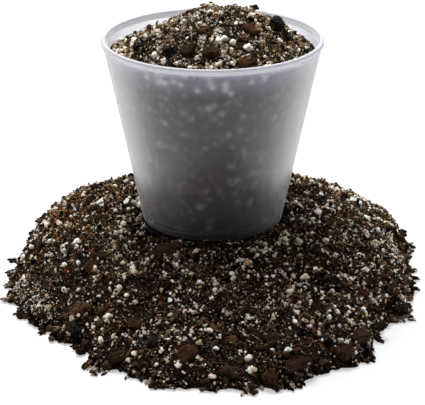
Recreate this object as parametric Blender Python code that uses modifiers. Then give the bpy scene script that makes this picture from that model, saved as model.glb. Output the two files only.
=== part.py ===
"""A frosted plastic cup heaped full of potting compost, standing on a spread heap of the same mix.

Sizes are in metres. The cup's axis is the world Z axis, the floor is z = 0, and the side that
faces the viewer is -Y. The bark chips, peat lumps, perlite lumps and twigs that show on the two
surfaces are loose pieces, each bedded to about half its thickness in a hollow of its own.
"""
import math

import bmesh
import bpy
import numpy as np
from mathutils import Matrix, Vector

OBJECT_NAME = "cup_of_potting_compost"

# The cup, a single moulding. Its heights are measured from its own foot.
CUP_HEIGHT = 0.1025
RIM_RADIUS = 0.0600
RIM_WIDTH = 0.0026
RIM_HEIGHT = 0.0027
RIM_STAND_OUT = 0.0005
RIM_ROUNDING = 0.0007
FOOT_RADIUS = 0.0385
FOOT_ROUNDING = 0.0015
FOOT_RING_WIDTH = 0.0035
FOOT_RECESS = 0.0012
WALL_THICKNESS = 0.0018
FLOOR_THICKNESS = 0.0020
INNER_CORNER_RADIUS = 0.0030
TURNED_SEGMENTS = 64
CORNER_POINTS = 5
ROUNDING_POINTS = 4

# The compost in the cup: level with the wall a little below the rim, and domed above it.
FILL_GAP = 0.0003
FILL_EDGE_DROP = 0.0075
FILL_CROWN_RISE = 0.0165
FILL_DOME_POWER = 2.3
FILL_LEAN = 0.065
FILL_LUMP_HEIGHT = 0.0016
FILL_LUMP_SPAN = 0.0120
FILL_LUMP_FADE_POWER = 6
FILL_TOP_RINGS = 8
FILL_WALL_RINGS = 3

# The heap under the cup. Its reach to the front and back is measured from the cup's axis.
HEAP_HALF_WIDTH = 0.1190
HEAP_FRONT_REACH = 0.1430
HEAP_BACK_REACH = 0.1240
HEAP_MIDDLE_Y = 0.0190
HEAP_CROWN_HEIGHT = 0.0410
HEAP_EDGE_HEIGHT = 0.0020
HEAP_FALL_POWER = 2.7
HEAP_FRONT_ROUNDNESS = 2.0
HEAP_BACK_ROUNDNESS = 3.0
HEAP_LUMP_HEIGHT = 0.0016
HEAP_LUMP_SPAN = 0.0150
HEAP_LUMP_FADE_SHARE = 0.17
HEAP_EDGE_LUMP = 0.0025
HEAP_SEGMENTS = 90
HEAP_RINGS = 16
SEAT_SINK = 0.0030
SEAT_GAP = 0.0003

# Places where the heap's outline swells or dips: bearing from its middle in degrees counted
# from +X, how far it moves out, and the half-width of the place in degrees.
OUTLINE_SWELLS = (
    (166, -0.007, 20),
    (208, 0.003, 8),
    (228, -0.008, 6),
    (239, -0.009, 6),
    (252, -0.007, 4),
    (265, 0.004, 5),
    (286, 0.008, 8),
    (302, 0.010, 6),
    (326, 0.004, 9),
)

# Loose pieces. Each row is a bearing round the cup's axis in degrees from +X, the share of the
# way out (on the heap from the cup's foot to the heap's edge, in the cup from the axis to the
# wall), the piece's length, width and thickness, its turn on the surface, and its colour.
BED_GAP = 0.0004
BEDDED_SHARE = 0.5

CUP_COLOUR = (0.72, 0.72, 0.76)
CUP_ROUGHNESS = 0.35
COMPOST_COLOUR = (0.042, 0.032, 0.022)
COMPOST_ROUGHNESS = 0.95
PIECE_ROUGHNESS = 0.90
RED_BARK = (0.115, 0.034, 0.014)
BROWN_BARK = (0.062, 0.030, 0.015)
ORANGE_BARK = (0.190, 0.074, 0.022)
DARK_PEAT = (0.013, 0.009, 0.007)
BLACK_PEAT = (0.005, 0.005, 0.005)
PERLITE_WHITE = (0.680, 0.610, 0.520)

HEAP_BARK = (
    (243, 0.15, 0.0135, 0.0095, 0.0050, 15, BROWN_BARK),
    (215, 0.52, 0.0095, 0.0055, 0.0042, 78, RED_BARK),
    (214, 0.41, 0.0056, 0.0050, 0.0040, 20, BROWN_BARK),
    (227, 0.80, 0.0110, 0.0085, 0.0050, 70, ORANGE_BARK),
    (264, 0.82, 0.0110, 0.0090, 0.0046, 35, RED_BARK),
    (248, 0.72, 0.0088, 0.0060, 0.0042, 10, BROWN_BARK),
    (247, 0.91, 0.0085, 0.0068, 0.0044, 25, BROWN_BARK),
    (2, 0.39, 0.0078, 0.0060, 0.0042, 120, BROWN_BARK),
    (322, 0.74, 0.0086, 0.0056, 0.0042, 165, RED_BARK),
    (307, 0.86, 0.0118, 0.0072, 0.0046, 170, BROWN_BARK),
    (301, 0.91, 0.0086, 0.0066, 0.0042, 30, RED_BARK),
    (285, 0.75, 0.0112, 0.0062, 0.0038, 5, BROWN_BARK),
    (275, 0.76, 0.0068, 0.0050, 0.0038, 140, ORANGE_BARK),
    (288, 0.89, 0.0150, 0.0052, 0.0040, 8, BROWN_BARK),
    (282, 0.93, 0.0068, 0.0060, 0.0042, 60, RED_BARK),
    (274, 0.91, 0.0110, 0.0046, 0.0038, 172, BROWN_BARK),
)
CUP_BARK = (
    (308, 0.57, 0.0088, 0.0056, 0.0038, 100, RED_BARK),
    (262, 0.51, 0.0084, 0.0052, 0.0036, 5, ORANGE_BARK),
    (253, 0.75, 0.0080, 0.0060, 0.0040, 60, BROWN_BARK),
    (269, 0.76, 0.0086, 0.0064, 0.0042, 20, BROWN_BARK),
    (290, 0.86, 0.0105, 0.0058, 0.0040, 15, ORANGE_BARK),
)
HEAP_PEAT = (
    (139, 0.54, 0.0080, 0.0074, 0.0070, 0, DARK_PEAT),
    (146, 0.49, 0.0066, 0.0060, 0.0056, 40, BLACK_PEAT),
    (150, 0.66, 0.0068, 0.0064, 0.0060, 80, DARK_PEAT),
    (163, 0.41, 0.0112, 0.0066, 0.0060, 170, BLACK_PEAT),
    (229, 0.90, 0.0072, 0.0066, 0.0056, 20, DARK_PEAT),
    (255, 0.79, 0.0084, 0.0074, 0.0060, 50, BLACK_PEAT),
    (343, 0.18, 0.0070, 0.0062, 0.0054, 30, BLACK_PEAT),
    (331, 0.92, 0.0098, 0.0068, 0.0060, 160, BLACK_PEAT),
    (318, 0.92, 0.0074, 0.0062, 0.0056, 150, BLACK_PEAT),
)
CUP_PEAT = (
    (345, 0.63, 0.0112, 0.0092, 0.0084, 20, BLACK_PEAT),
    (239, 0.76, 0.0088, 0.0080, 0.0064, 60, BLACK_PEAT),
    (208, 0.80, 0.0068, 0.0062, 0.0054, 15, DARK_PEAT),
    (25, 0.45, 0.0052, 0.0048, 0.0050, 0, DARK_PEAT),
)
HEAP_PERLITE = (
    (239, 0.75, 0.0062, 0.0050, 0.0044, 10, PERLITE_WHITE),
    (338, 0.25, 0.0038, 0.0035, 0.0033, 50, PERLITE_WHITE),
    (0, 0.22, 0.0040, 0.0037, 0.0034, 0, PERLITE_WHITE),
    (287, 0.82, 0.0070, 0.0034, 0.0032, 8, PERLITE_WHITE),
    (278, 0.84, 0.0042, 0.0040, 0.0036, 30, PERLITE_WHITE),
    (278, 0.90, 0.0038, 0.0036, 0.0032, 70, PERLITE_WHITE),
)
CUP_PERLITE = (
    (229, 0.82, 0.0044, 0.0040, 0.0036, 25, PERLITE_WHITE),
    (181, 0.88, 0.0038, 0.0036, 0.0034, 0, PERLITE_WHITE),
    (275, 0.63, 0.0046, 0.0042, 0.0038, 60, PERLITE_WHITE),
    (287, 0.64, 0.0038, 0.0036, 0.0032, 20, PERLITE_WHITE),
    (297, 0.72, 0.0052, 0.0046, 0.0040, 10, PERLITE_WHITE),
    (354, 0.82, 0.0040, 0.0036, 0.0034, 80, PERLITE_WHITE),
)
HEAP_TWIGS = (
    (181, 0.90, 0.0130, 0.0013, 0.0013, 20, BROWN_BARK),
    (172, 0.86, 0.0110, 0.0011, 0.0011, 10, BROWN_BARK),
)
TWIG_LIFT = math.radians(14)
TWIG_LIFT_SPREAD = 0.2
TWIG_TIP_SHARE = 0.33
TWIG_SIDES = 8
BARK_TAPER = 0.30
BARK_JITTER = 0.10
BARK_BEND = 0.25
LUMP_JITTER = 0.10
PERLITE_JITTER = 0.16

# How finely things are worked out: the corners of the square lattice behind the bumps, the
# halvings that find the heap's edge, the step that measures a slope, the distance at which
# corners join, and the angle from which an edge is shaded sharp.
LATTICE_SIZE = 64
EDGE_HALVINGS = 40
SLOPE_STEP = 0.0020
JOIN_DISTANCE = 0.00001
SHARP_DEGREES = 35

# Values worked out from the sizes above.
WALL_LEAN = (RIM_RADIUS - RIM_STAND_OUT - FOOT_RADIUS) / CUP_HEIGHT
CUP_FOOT_Z = HEAP_CROWN_HEIGHT - SEAT_SINK
CUP_RIM_Z = CUP_FOOT_Z + CUP_HEIGHT
INSIDE_FLOOR = FOOT_RECESS + FLOOR_THICKNESS


def lattice_bumps(x, y, span, seed):
    """Smooth bumps from -1 to 1: random heights on a square lattice, eased between its corners."""
    heights = np.random.default_rng(seed).uniform(-1.0, 1.0, (LATTICE_SIZE, LATTICE_SIZE))
    u = np.asarray(x, dtype=float) / span + LATTICE_SIZE / 2
    v = np.asarray(y, dtype=float) / span + LATTICE_SIZE / 2
    column = np.floor(u).astype(int)
    row = np.floor(v).astype(int)
    ease_u = (u - column) ** 2 * (3 - 2 * (u - column))
    ease_v = (v - row) ** 2 * (3 - 2 * (v - row))

    def corner(step_u, step_v):
        return heights[(column + step_u) % LATTICE_SIZE, (row + step_v) % LATTICE_SIZE]

    near = corner(0, 0) * (1 - ease_u) + corner(1, 0) * ease_u
    far = corner(0, 1) * (1 - ease_u) + corner(1, 1) * ease_u
    return near * (1 - ease_v) + far * ease_v


def wall_outer(height):
    """The outer radius of the cup's wall at a height above its foot."""
    return FOOT_RADIUS + WALL_LEAN * height


def wall_inner(height):
    """The inner radius of the cup's wall at a height above its foot."""
    return wall_outer(height) - WALL_THICKNESS


def heap_reach(bearing):
    """How far the heap spreads from its middle: an oval in front, a squarer one behind, with swells."""
    ahead = np.sin(bearing) < 0
    depth = np.where(ahead, HEAP_FRONT_REACH + HEAP_MIDDLE_Y, HEAP_BACK_REACH - HEAP_MIDDLE_Y)
    power = np.where(ahead, HEAP_FRONT_ROUNDNESS, HEAP_BACK_ROUNDNESS)
    across = (np.abs(np.cos(bearing)) / HEAP_HALF_WIDTH) ** power
    along = (np.abs(np.sin(bearing)) / depth) ** power
    reach = (across + along) ** (-1 / power)
    for middle, size, half_width in OUTLINE_SWELLS:
        turn = np.angle(np.exp(1j * (bearing - math.radians(middle))))
        reach = reach + size * np.exp(-(turn / math.radians(half_width)) ** 2)
    rim_x = HEAP_HALF_WIDTH * np.cos(bearing)
    rim_y = HEAP_HALF_WIDTH * np.sin(bearing)
    return reach + HEAP_EDGE_LUMP * lattice_bumps(rim_x, rim_y, HEAP_LUMP_SPAN, seed=11)


def heap_surface(x, y):
    """Height of the heap: a crown that falls away as a power of the share of the way to its edge."""
    bearing = np.arctan2(y - HEAP_MIDDLE_Y, x)
    share = np.hypot(x, y - HEAP_MIDDLE_Y) / heap_reach(bearing)
    fall = np.clip(share, 0, 1) ** HEAP_FALL_POWER
    plain = HEAP_EDGE_HEIGHT + (HEAP_CROWN_HEIGHT - HEAP_EDGE_HEIGHT) * (1 - fall)
    from_foot = (np.hypot(x, y) - FOOT_RADIUS) / HEAP_LUMP_SPAN
    from_edge = (1 - share) / HEAP_LUMP_FADE_SHARE
    lump_height = HEAP_LUMP_HEIGHT * np.clip(from_foot, 0, 1) * np.clip(from_edge, 0, 1)
    return plain + lump_height * lattice_bumps(x, y, HEAP_LUMP_SPAN, seed=12)


def fill_edge_radius():
    """The radius of the compost in the cup where its dome meets the wall."""
    return wall_inner(CUP_HEIGHT - FILL_EDGE_DROP) - FILL_GAP


def fill_surface(x, y):
    """Height of the compost in the cup: a dome that leans to the right, with lumps that end at the wall."""
    share = np.clip(np.hypot(x, y) / fill_edge_radius(), 0, 1)
    room = 1 - share ** FILL_DOME_POWER
    rise = (FILL_CROWN_RISE + FILL_EDGE_DROP + FILL_LEAN * x) * room
    lump_height = FILL_LUMP_HEIGHT * (1 - share ** FILL_LUMP_FADE_POWER)
    lumps = lump_height * lattice_bumps(x, y, FILL_LUMP_SPAN, seed=21)
    return CUP_RIM_Z - FILL_EDGE_DROP + rise + lumps


def heap_reach_from_cup(bearing):
    """How far from the cup's axis the heap's edge lies, found by halving the interval."""
    near = FOOT_RADIUS
    far = HEAP_HALF_WIDTH + HEAP_FRONT_REACH + HEAP_BACK_REACH
    for _ in range(EDGE_HALVINGS):
        middle = (near + far) / 2
        x = middle * math.cos(bearing)
        y = middle * math.sin(bearing) - HEAP_MIDDLE_Y
        if math.hypot(x, y) < heap_reach(math.atan2(y, x)):
            near = middle
        else:
            far = middle
    return near


def heap_spot(bearing, share):
    """The place on the heap at a bearing, a share of the way from the cup's foot to the edge."""
    reach = FOOT_RADIUS + share * (heap_reach_from_cup(bearing) - FOOT_RADIUS)
    return reach * math.cos(bearing), reach * math.sin(bearing)


def fill_spot(bearing, share):
    """The place on the compost in the cup at a bearing, a share of the way from axis to wall."""
    reach = share * fill_edge_radius()
    return reach * math.cos(bearing), reach * math.sin(bearing)


def surface_normal(surface, x, y):
    """The upward normal of a surface, from the heights a short step to each side."""
    rise_x = surface(x + SLOPE_STEP, y) - surface(x - SLOPE_STEP, y)
    rise_y = surface(x, y + SLOPE_STEP) - surface(x, y - SLOPE_STEP)
    return Vector((-rise_x, -rise_y, 2 * SLOPE_STEP)).normalized()


def clear_scene():
    """Remove whatever the scene holds before the model is made."""
    for old in list(bpy.data.objects):
        bpy.data.objects.remove(old, do_unlink=True)


def new_collection(name):
    """Make a collection and link it to the scene."""
    collection = bpy.data.collections.new(name)
    bpy.context.scene.collection.children.link(collection)
    return collection


def paint(piece, colour, roughness):
    """Give a piece its own plain material."""
    material = bpy.data.materials.new(piece.name + "_finish")
    material.use_nodes = True
    shader = material.node_tree.nodes["Principled BSDF"]
    shader.inputs["Base Color"].default_value = (*colour, 1.0)
    shader.inputs["Roughness"].default_value = roughness
    shader.inputs["Metallic"].default_value = 0.0
    piece.data.materials.append(material)


def arc(centre_r, centre_z, radius, start_degrees, end_degrees, count):
    """Points along an arc in the profile plane, from one angle to the other."""
    points = []
    for step in range(count):
        angle = math.radians(start_degrees + (end_degrees - start_degrees) * step / (count - 1))
        points.append((centre_r + radius * math.cos(angle), centre_z + radius * math.sin(angle)))
    return points


def turned_mesh(name, profile, segments):
    """Turn a profile of (radius, height) points about the Z axis into a closed mesh."""
    outline = bpy.data.meshes.new(name + "_profile")
    points = [(radius, 0.0, height) for radius, height in profile]
    outline.from_pydata(points, [(i, i + 1) for i in range(len(points) - 1)], [])
    holder = bpy.data.objects.new(name + "_profile", outline)
    bpy.context.scene.collection.objects.link(holder)
    screw = holder.modifiers.new("turn", "SCREW")
    screw.steps = segments
    screw.render_steps = segments
    screw.use_merge_vertices = True
    screw.merge_threshold = JOIN_DISTANCE
    bpy.context.view_layer.update()
    evaluated = holder.evaluated_get(bpy.context.evaluated_depsgraph_get())
    mesh = bpy.data.meshes.new_from_object(evaluated)
    mesh.name = name
    bpy.data.objects.remove(holder, do_unlink=True)
    return mesh


def add_piece(collection, name, mesh, colour, roughness):
    """Link a mesh as a named piece with its material, shaded smooth up to an angle."""
    piece = bpy.data.objects.new(name, mesh)
    collection.objects.link(piece)
    mesh.shade_smooth()
    mesh.set_sharp_from_angle(angle=math.radians(SHARP_DEGREES))
    paint(piece, colour, roughness)
    return piece


def cup_profile():
    """The cup's section, from the middle of its inside floor round to the middle of its foot."""
    rim_inner = RIM_RADIUS - RIM_WIDTH
    rim_under = CUP_HEIGHT - RIM_HEIGHT
    corner_z = INSIDE_FLOOR + INNER_CORNER_RADIUS
    corner_r = wall_inner(corner_z) - INNER_CORNER_RADIUS
    ring_inner = FOOT_RADIUS - FOOT_RING_WIDTH
    rounding_z = CUP_HEIGHT - RIM_ROUNDING
    foot_r = wall_outer(FOOT_ROUNDING) - FOOT_ROUNDING
    profile = [(0.0, INSIDE_FLOOR)]
    profile += arc(corner_r, corner_z, INNER_CORNER_RADIUS, -90, 0, CORNER_POINTS)
    profile.append((wall_inner(rim_under), rim_under))
    profile += arc(rim_inner + RIM_ROUNDING, rounding_z, RIM_ROUNDING, 180, 90, ROUNDING_POINTS)
    profile += arc(RIM_RADIUS - RIM_ROUNDING, rounding_z, RIM_ROUNDING, 90, 0, ROUNDING_POINTS)
    profile.append((RIM_RADIUS, rim_under))
    profile.append((wall_outer(rim_under), rim_under))
    profile += arc(foot_r, FOOT_ROUNDING, FOOT_ROUNDING, 0, -90, ROUNDING_POINTS)
    profile.append((ring_inner, 0.0))
    profile.append((ring_inner - FOOT_RECESS / 2, FOOT_RECESS))
    profile.append((0.0, FOOT_RECESS))
    return [(radius, height + CUP_FOOT_Z) for radius, height in profile]


def make_cup(collection):
    """The cup, one thin moulding with a thickened rim and a foot ring."""
    mesh = turned_mesh("cup", cup_profile(), TURNED_SEGMENTS)
    return add_piece(collection, "cup", mesh, CUP_COLOUR, CUP_ROUGHNESS)


def triangulate(mesh):
    """Split every face into triangles, so that a moved corner leaves no bent face."""
    work = bmesh.new()
    work.from_mesh(mesh)
    bmesh.ops.triangulate(work, faces=work.faces[:])
    work.to_mesh(mesh)
    work.free()


def make_fill(collection):
    """The compost in the cup: its sides follow the wall, and its top is the leaning dome."""
    edge = CUP_HEIGHT - FILL_EDGE_DROP
    corner_z = INSIDE_FLOOR + INNER_CORNER_RADIUS
    corner_r = wall_inner(corner_z) - INNER_CORNER_RADIUS
    profile = []
    for ring in range(FILL_TOP_RINGS):
        profile.append((fill_edge_radius() * ring / FILL_TOP_RINGS, edge))
    for ring in range(FILL_WALL_RINGS):
        height = edge + (corner_z - edge) * ring / FILL_WALL_RINGS
        profile.append((wall_inner(height) - FILL_GAP, height))
    profile += arc(corner_r, corner_z, INNER_CORNER_RADIUS - FILL_GAP, 0, -90, CORNER_POINTS)
    profile.append((0.0, INSIDE_FLOOR + FILL_GAP))
    profile = [(radius, height + CUP_FOOT_Z) for radius, height in profile]
    mesh = turned_mesh("cup_fill", profile, TURNED_SEGMENTS)
    for vertex in mesh.vertices:
        if abs(vertex.co.z - (CUP_FOOT_Z + edge)) < FILL_GAP / 10:
            vertex.co.z = float(fill_surface(vertex.co.x, vertex.co.y))
    triangulate(mesh)
    return add_piece(collection, "cup_fill", mesh, COMPOST_COLOUR, COMPOST_ROUGHNESS)


def make_heap(collection):
    """The heap: a turned mound stretched to its outline, with a flat underside on the floor."""
    profile = []
    for ring in range(HEAP_RINGS + 1):
        profile.append((HEAP_HALF_WIDTH * math.sqrt(ring / HEAP_RINGS), HEAP_EDGE_HEIGHT))
    profile.append((HEAP_HALF_WIDTH, 0.0))
    profile.append((0.0, 0.0))
    mesh = turned_mesh("heap", profile, HEAP_SEGMENTS)
    for vertex in mesh.vertices:
        bearing = math.atan2(vertex.co.y, vertex.co.x)
        share = math.hypot(vertex.co.x, vertex.co.y) / HEAP_HALF_WIDTH
        reach = share * float(heap_reach(bearing))
        vertex.co.x = reach * math.cos(bearing)
        vertex.co.y = reach * math.sin(bearing) + HEAP_MIDDLE_Y
        if vertex.co.z > HEAP_EDGE_HEIGHT / 2:
            vertex.co.z = float(heap_surface(vertex.co.x, vertex.co.y))
    triangulate(mesh)
    return add_piece(collection, "heap", mesh, COMPOST_COLOUR, COMPOST_ROUGHNESS)


def make_seat_cutter(collection):
    """The hollow that the cup's foot presses into the heap: the foot's outline plus a gap."""
    top = CUP_HEIGHT / 2
    foot_r = wall_outer(FOOT_ROUNDING) - FOOT_ROUNDING
    profile = [(0.0, top), (wall_outer(top) + SEAT_GAP, top)]
    profile += arc(foot_r, FOOT_ROUNDING, FOOT_ROUNDING + SEAT_GAP, 0, -90, ROUNDING_POINTS)
    profile.append((0.0, -SEAT_GAP))
    profile = [(radius, height + CUP_FOOT_Z) for radius, height in profile]
    cutter = bpy.data.objects.new("seat_cutter", turned_mesh("seat_cutter", profile, TURNED_SEGMENTS))
    hide_cutter(cutter, collection)


def hide_cutter(cutter, collection):
    """Put a cutting shape in its collection, out of the finished model."""
    collection.objects.link(cutter)
    cutter.hide_render = True
    cutter.display_type = "WIRE"


def bark_form(length, width, thickness, rng):
    """A split bark chip: a slab that narrows to its ends, bulges to one side and has uneven corners."""
    slab = bmesh.new()
    bmesh.ops.create_cube(slab, size=1.0)
    bmesh.ops.subdivide_edges(slab, edges=slab.edges[:], cuts=1, use_grid_fill=True)
    bend = rng.uniform(-BARK_BEND, BARK_BEND)
    work = bmesh.new()
    for vertex in slab.verts:
        x, y, z = vertex.co
        y *= 1 - BARK_TAPER * abs(2 * x)
        z += bend * (1 - (2 * x) ** 2) - bend / 2
        nudge = rng.uniform(-BARK_JITTER, BARK_JITTER, 3)
        work.verts.new(((x + nudge[0]) * length, (y + nudge[1]) * width, (z + nudge[2]) * thickness))
    slab.free()
    bmesh.ops.convex_hull(work, input=work.verts[:])
    unused = [vertex for vertex in work.verts if not vertex.link_faces]
    bmesh.ops.delete(work, geom=unused, context="VERTS")
    return work


def lump_form(length, width, thickness, rng, jitter=LUMP_JITTER):
    """A lump or grain: a ball of flat facets pushed in and out, then squashed to its size."""
    work = bmesh.new()
    bmesh.ops.create_icosphere(work, subdivisions=2, radius=0.5)
    for vertex in work.verts:
        vertex.co *= 1 + rng.uniform(-jitter, jitter)
        vertex.co = (vertex.co.x * length, vertex.co.y * width, vertex.co.z * thickness)
    return work


def perlite_form(length, width, thickness, rng):
    """A popped perlite grain, with deeper dents than a peat lump."""
    return lump_form(length, width, thickness, rng, PERLITE_JITTER)


def twig_form(length, width, thickness, rng):
    """A twig: a thin many-sided stick that tapers, tilted up out of the surface."""
    work = bmesh.new()
    bmesh.ops.create_cone(work, cap_ends=True, segments=TWIG_SIDES, radius1=width / 2,
                          radius2=TWIG_TIP_SHARE * thickness, depth=length)
    lift = TWIG_LIFT * (1 + rng.uniform(-TWIG_LIFT_SPREAD, TWIG_LIFT_SPREAD))
    lay_down = Matrix.Rotation(lift - math.pi / 2, 4, "Y")
    bmesh.ops.transform(work, matrix=lay_down, verts=work.verts[:])
    return work


def form_to_mesh(name, work):
    """Triangulate a form and write it to a mesh."""
    bmesh.ops.triangulate(work, faces=work.faces[:])
    mesh = bpy.data.meshes.new(name)
    work.to_mesh(mesh)
    return mesh


def grow(work, distance):
    """Move a form's faces out by an even distance, to make the hollow it beds in."""
    work.normal_update()
    moved = [v.co + v.normal * distance * v.calc_shell_factor() for v in work.verts]
    for vertex, place in zip(work.verts, moved):
        vertex.co = place


def bed_pieces(name, form, rows, first, surface, spot, parts, beds):
    """Make a kind of loose piece from its rows, each lying on its surface in a hollow of its own."""
    for number, row in enumerate(rows, start=first):
        bearing, share, length, width, thickness, turn, colour = row
        label = f"{name}_{number:02d}"
        x, y = spot(math.radians(bearing), share)
        normal = surface_normal(surface, x, y)
        lift = thickness * (0.5 - BEDDED_SHARE)
        place = Vector((x, y, float(surface(x, y)))) + normal * lift
        turned = Matrix.Rotation(math.radians(turn), 4, "Z")
        frame = Matrix.Translation(place) @ normal.to_track_quat("Z", "Y").to_matrix().to_4x4() @ turned
        work = form(length, width, thickness, np.random.default_rng(number + 100 * len(name)))
        piece = add_piece(parts, label, form_to_mesh(label, work), colour, PIECE_ROUGHNESS)
        piece.matrix_world = frame
        grow(work, BED_GAP)
        bed = bpy.data.objects.new(label + "_bed", form_to_mesh(label + "_bed", work))
        bed.matrix_world = frame
        hide_cutter(bed, beds)
        work.free()


def cut_with(piece, cutters):
    """Take a collection of cutters out of a piece."""
    cut = piece.modifiers.new("beds", "BOOLEAN")
    cut.operation = "DIFFERENCE"
    cut.solver = "EXACT"
    cut.operand_type = "COLLECTION"
    cut.collection = cutters


def main():
    """Build the cup, the two bodies of compost and the loose pieces on them."""
    clear_scene()
    parts = new_collection(OBJECT_NAME)
    heap_beds = new_collection("heap_cutters")
    fill_beds = new_collection("fill_cutters")

    make_cup(parts)
    fill = make_fill(parts)
    heap = make_heap(parts)
    make_seat_cutter(heap_beds)

    kinds = (
        ("bark_chip", bark_form, HEAP_BARK, CUP_BARK),
        ("peat_lump", lump_form, HEAP_PEAT, CUP_PEAT),
        ("perlite_lump", perlite_form, HEAP_PERLITE, CUP_PERLITE),
        ("twig", twig_form, HEAP_TWIGS, ()),
    )
    for name, form, on_heap, in_cup in kinds:
        bed_pieces(name, form, on_heap, 1, heap_surface, heap_spot, parts, heap_beds)
        bed_pieces(name, form, in_cup, 1 + len(on_heap), fill_surface, fill_spot, parts, fill_beds)

    cut_with(heap, heap_beds)
    cut_with(fill, fill_beds)


main()
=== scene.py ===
# %% [markdown]
# # A cup of potting compost, looks
#
# The real thing is a frosted plastic cup, heaped over its rim with a peaty potting mix, and
# standing on a spread heap of the same mix. The solid model gives every size and place. Here
# each solid is replaced by a finer surface, and the mix gets its grains: white perlite, dark
# crumbs, bark, fibres and dust. We load the solid model first, because every piece rides on it.

# %% The frame and what is in it
import math

import bpy
import numpy as np
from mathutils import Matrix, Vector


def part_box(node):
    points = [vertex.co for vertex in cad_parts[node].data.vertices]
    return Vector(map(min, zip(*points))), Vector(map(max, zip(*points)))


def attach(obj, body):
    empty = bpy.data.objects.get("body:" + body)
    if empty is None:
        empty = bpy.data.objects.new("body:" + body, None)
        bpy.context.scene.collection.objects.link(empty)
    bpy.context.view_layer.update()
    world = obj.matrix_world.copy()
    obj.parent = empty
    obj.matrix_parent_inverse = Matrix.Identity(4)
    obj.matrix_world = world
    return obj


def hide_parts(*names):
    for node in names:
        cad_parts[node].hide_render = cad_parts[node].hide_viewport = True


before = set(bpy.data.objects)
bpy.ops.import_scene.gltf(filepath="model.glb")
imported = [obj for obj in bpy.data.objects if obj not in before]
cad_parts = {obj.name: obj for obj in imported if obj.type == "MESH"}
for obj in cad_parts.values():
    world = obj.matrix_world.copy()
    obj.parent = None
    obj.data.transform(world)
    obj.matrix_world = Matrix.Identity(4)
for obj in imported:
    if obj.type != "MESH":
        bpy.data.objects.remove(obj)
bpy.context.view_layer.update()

# %% [markdown]
# The camera stands about a metre away and a little above the rim, and looks down at 21.5 degrees.
# A long lens from a metre away keeps the cup's sides almost free of perspective, as in the photo.

# %% Camera
CAMERA_PLACE = (0.0, -0.9442, 0.4175)
CAMERA_PITCH = math.radians(21.52)
LENS = 154.5
SENSOR_WIDTH = 36.0

camera_data = bpy.data.cameras.new("camera")
camera_data.lens = LENS
camera_data.sensor_width = SENSOR_WIDTH
camera = bpy.data.objects.new("camera", camera_data)
camera.location = CAMERA_PLACE
camera.rotation_euler = (math.pi / 2 - CAMERA_PITCH, 0.0, 0.0)
bpy.context.scene.collection.objects.link(camera)
bpy.context.scene.camera = camera
bpy.context.scene.view_settings.view_transform = "Standard"
print("camera:", CAMERA_PLACE, "lens", LENS, "mm")

# %% [markdown]
# The studio, the floor and every finish are built from shader nodes. Blender's own calls take a
# line for each number and each link, so two short functions do it here: an input is named together
# with what goes into it, which is a value, another node or one of that node's outputs.

# %% Adding shader nodes
def feed(tree, node, *inputs):
    """Fill a node's inputs, each given as its name or number and a value, a node or an output."""
    for label, value in inputs:
        if isinstance(value, bpy.types.Node):
            value = value.outputs[0]
        if isinstance(value, bpy.types.NodeSocket):
            tree.links.new(value, node.inputs[label])
        else:
            node.inputs[label].default_value = value
    return node


def put_node(tree, kind, *inputs, **settings):
    """Add a node, with its settings made before its inputs are filled."""
    node = tree.nodes.new("ShaderNode" + kind)
    for name, value in settings.items():
        setattr(node, name, value)
    return feed(tree, node, *inputs)


def empty_tree(owner):
    """Give a world or a material a node tree with nothing in it."""
    owner.use_nodes = True
    owner.node_tree.nodes.clear()
    return owner.node_tree

# %% [markdown]
# A soft lamp above and behind the cup gives every crumb a light top and a dark front.

# %% The lamp
LAMP_PLACE = (-0.10, 0.22, 0.85)
LAMP_SIZE = 0.5
LAMP_WATTS = 10.2

lamp_data = bpy.data.lights.new("soft_lamp", "AREA")
lamp_data.shape = "SQUARE"
lamp_data.size = LAMP_SIZE
lamp_data.energy = LAMP_WATTS
lamp = bpy.data.objects.new("soft_lamp", lamp_data)
lamp.location = LAMP_PLACE
right, back, up = LAMP_PLACE
lamp.rotation_euler = (math.atan2(math.hypot(right, back), up), 0.0, math.atan2(right, -back))
bpy.context.scene.collection.objects.link(lamp)
print("lamp:", LAMP_WATTS, "W at", LAMP_PLACE)

# %% [markdown]
# The studio is white above, behind and at the sides, and dimmer at the camera's end. That is what
# makes frosted plastic read: its sides mirror the bright walls and its front the dim end. The walls
# light the cup less than they show in it, so the world has one strength for light that falls on
# things, one for what is mirrored or seen through plastic, and plain white for the camera.

# %% The studio
SKY_LEVEL = 0.48
DIM_END = 0.15
DIM_AXIS = (0.0, 0.95, 0.30)
DIM_FROM = -0.9
DIM_TO = 0.2
WHITE = (1.0, 1.0, 1.0, 1.0)


def any_ray(tree, *labels):
    """1 for the kinds of ray named, and 0 for all others: the largest of their flags."""
    path = put_node(tree, "LightPath")
    total = path.outputs[labels[0]]
    for label in labels[1:]:
        total = put_node(tree, "Math", (0, total), (1, path.outputs[label]), operation="MAXIMUM")
    return total


world = bpy.data.worlds.new("white_studio")
bpy.context.scene.world = world
tree = empty_tree(world)
direction = put_node(tree, "TexCoord").outputs["Generated"]
along = put_node(tree, "VectorMath", (0, direction), (1, DIM_AXIS), operation="DOT_PRODUCT")
studio = put_node(tree, "MapRange", ("Value", along.outputs["Value"]), ("From Min", DIM_FROM),
                  ("From Max", DIM_TO), ("To Min", DIM_END), ("To Max", 1.0),
                  interpolation_type="SMOOTHSTEP")
falling = put_node(tree, "Math", (0, studio), (1, SKY_LEVEL), operation="MULTIPLY")
sky = put_node(tree, "Background", ("Color", WHITE), ("Strength", falling))
mirrored = put_node(tree, "Background", ("Color", WHITE), ("Strength", studio))
seen = put_node(tree, "Background", ("Color", WHITE))
through = any_ray(tree, "Is Glossy Ray", "Is Transmission Ray")
unseen = put_node(tree, "MixShader", (0, through), (1, sky), (2, mirrored))
all_rays = put_node(tree, "MixShader", (0, any_ray(tree, "Is Camera Ray")), (1, unseen), (2, seen))
put_node(tree, "OutputWorld", ("Surface", all_rays))
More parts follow.
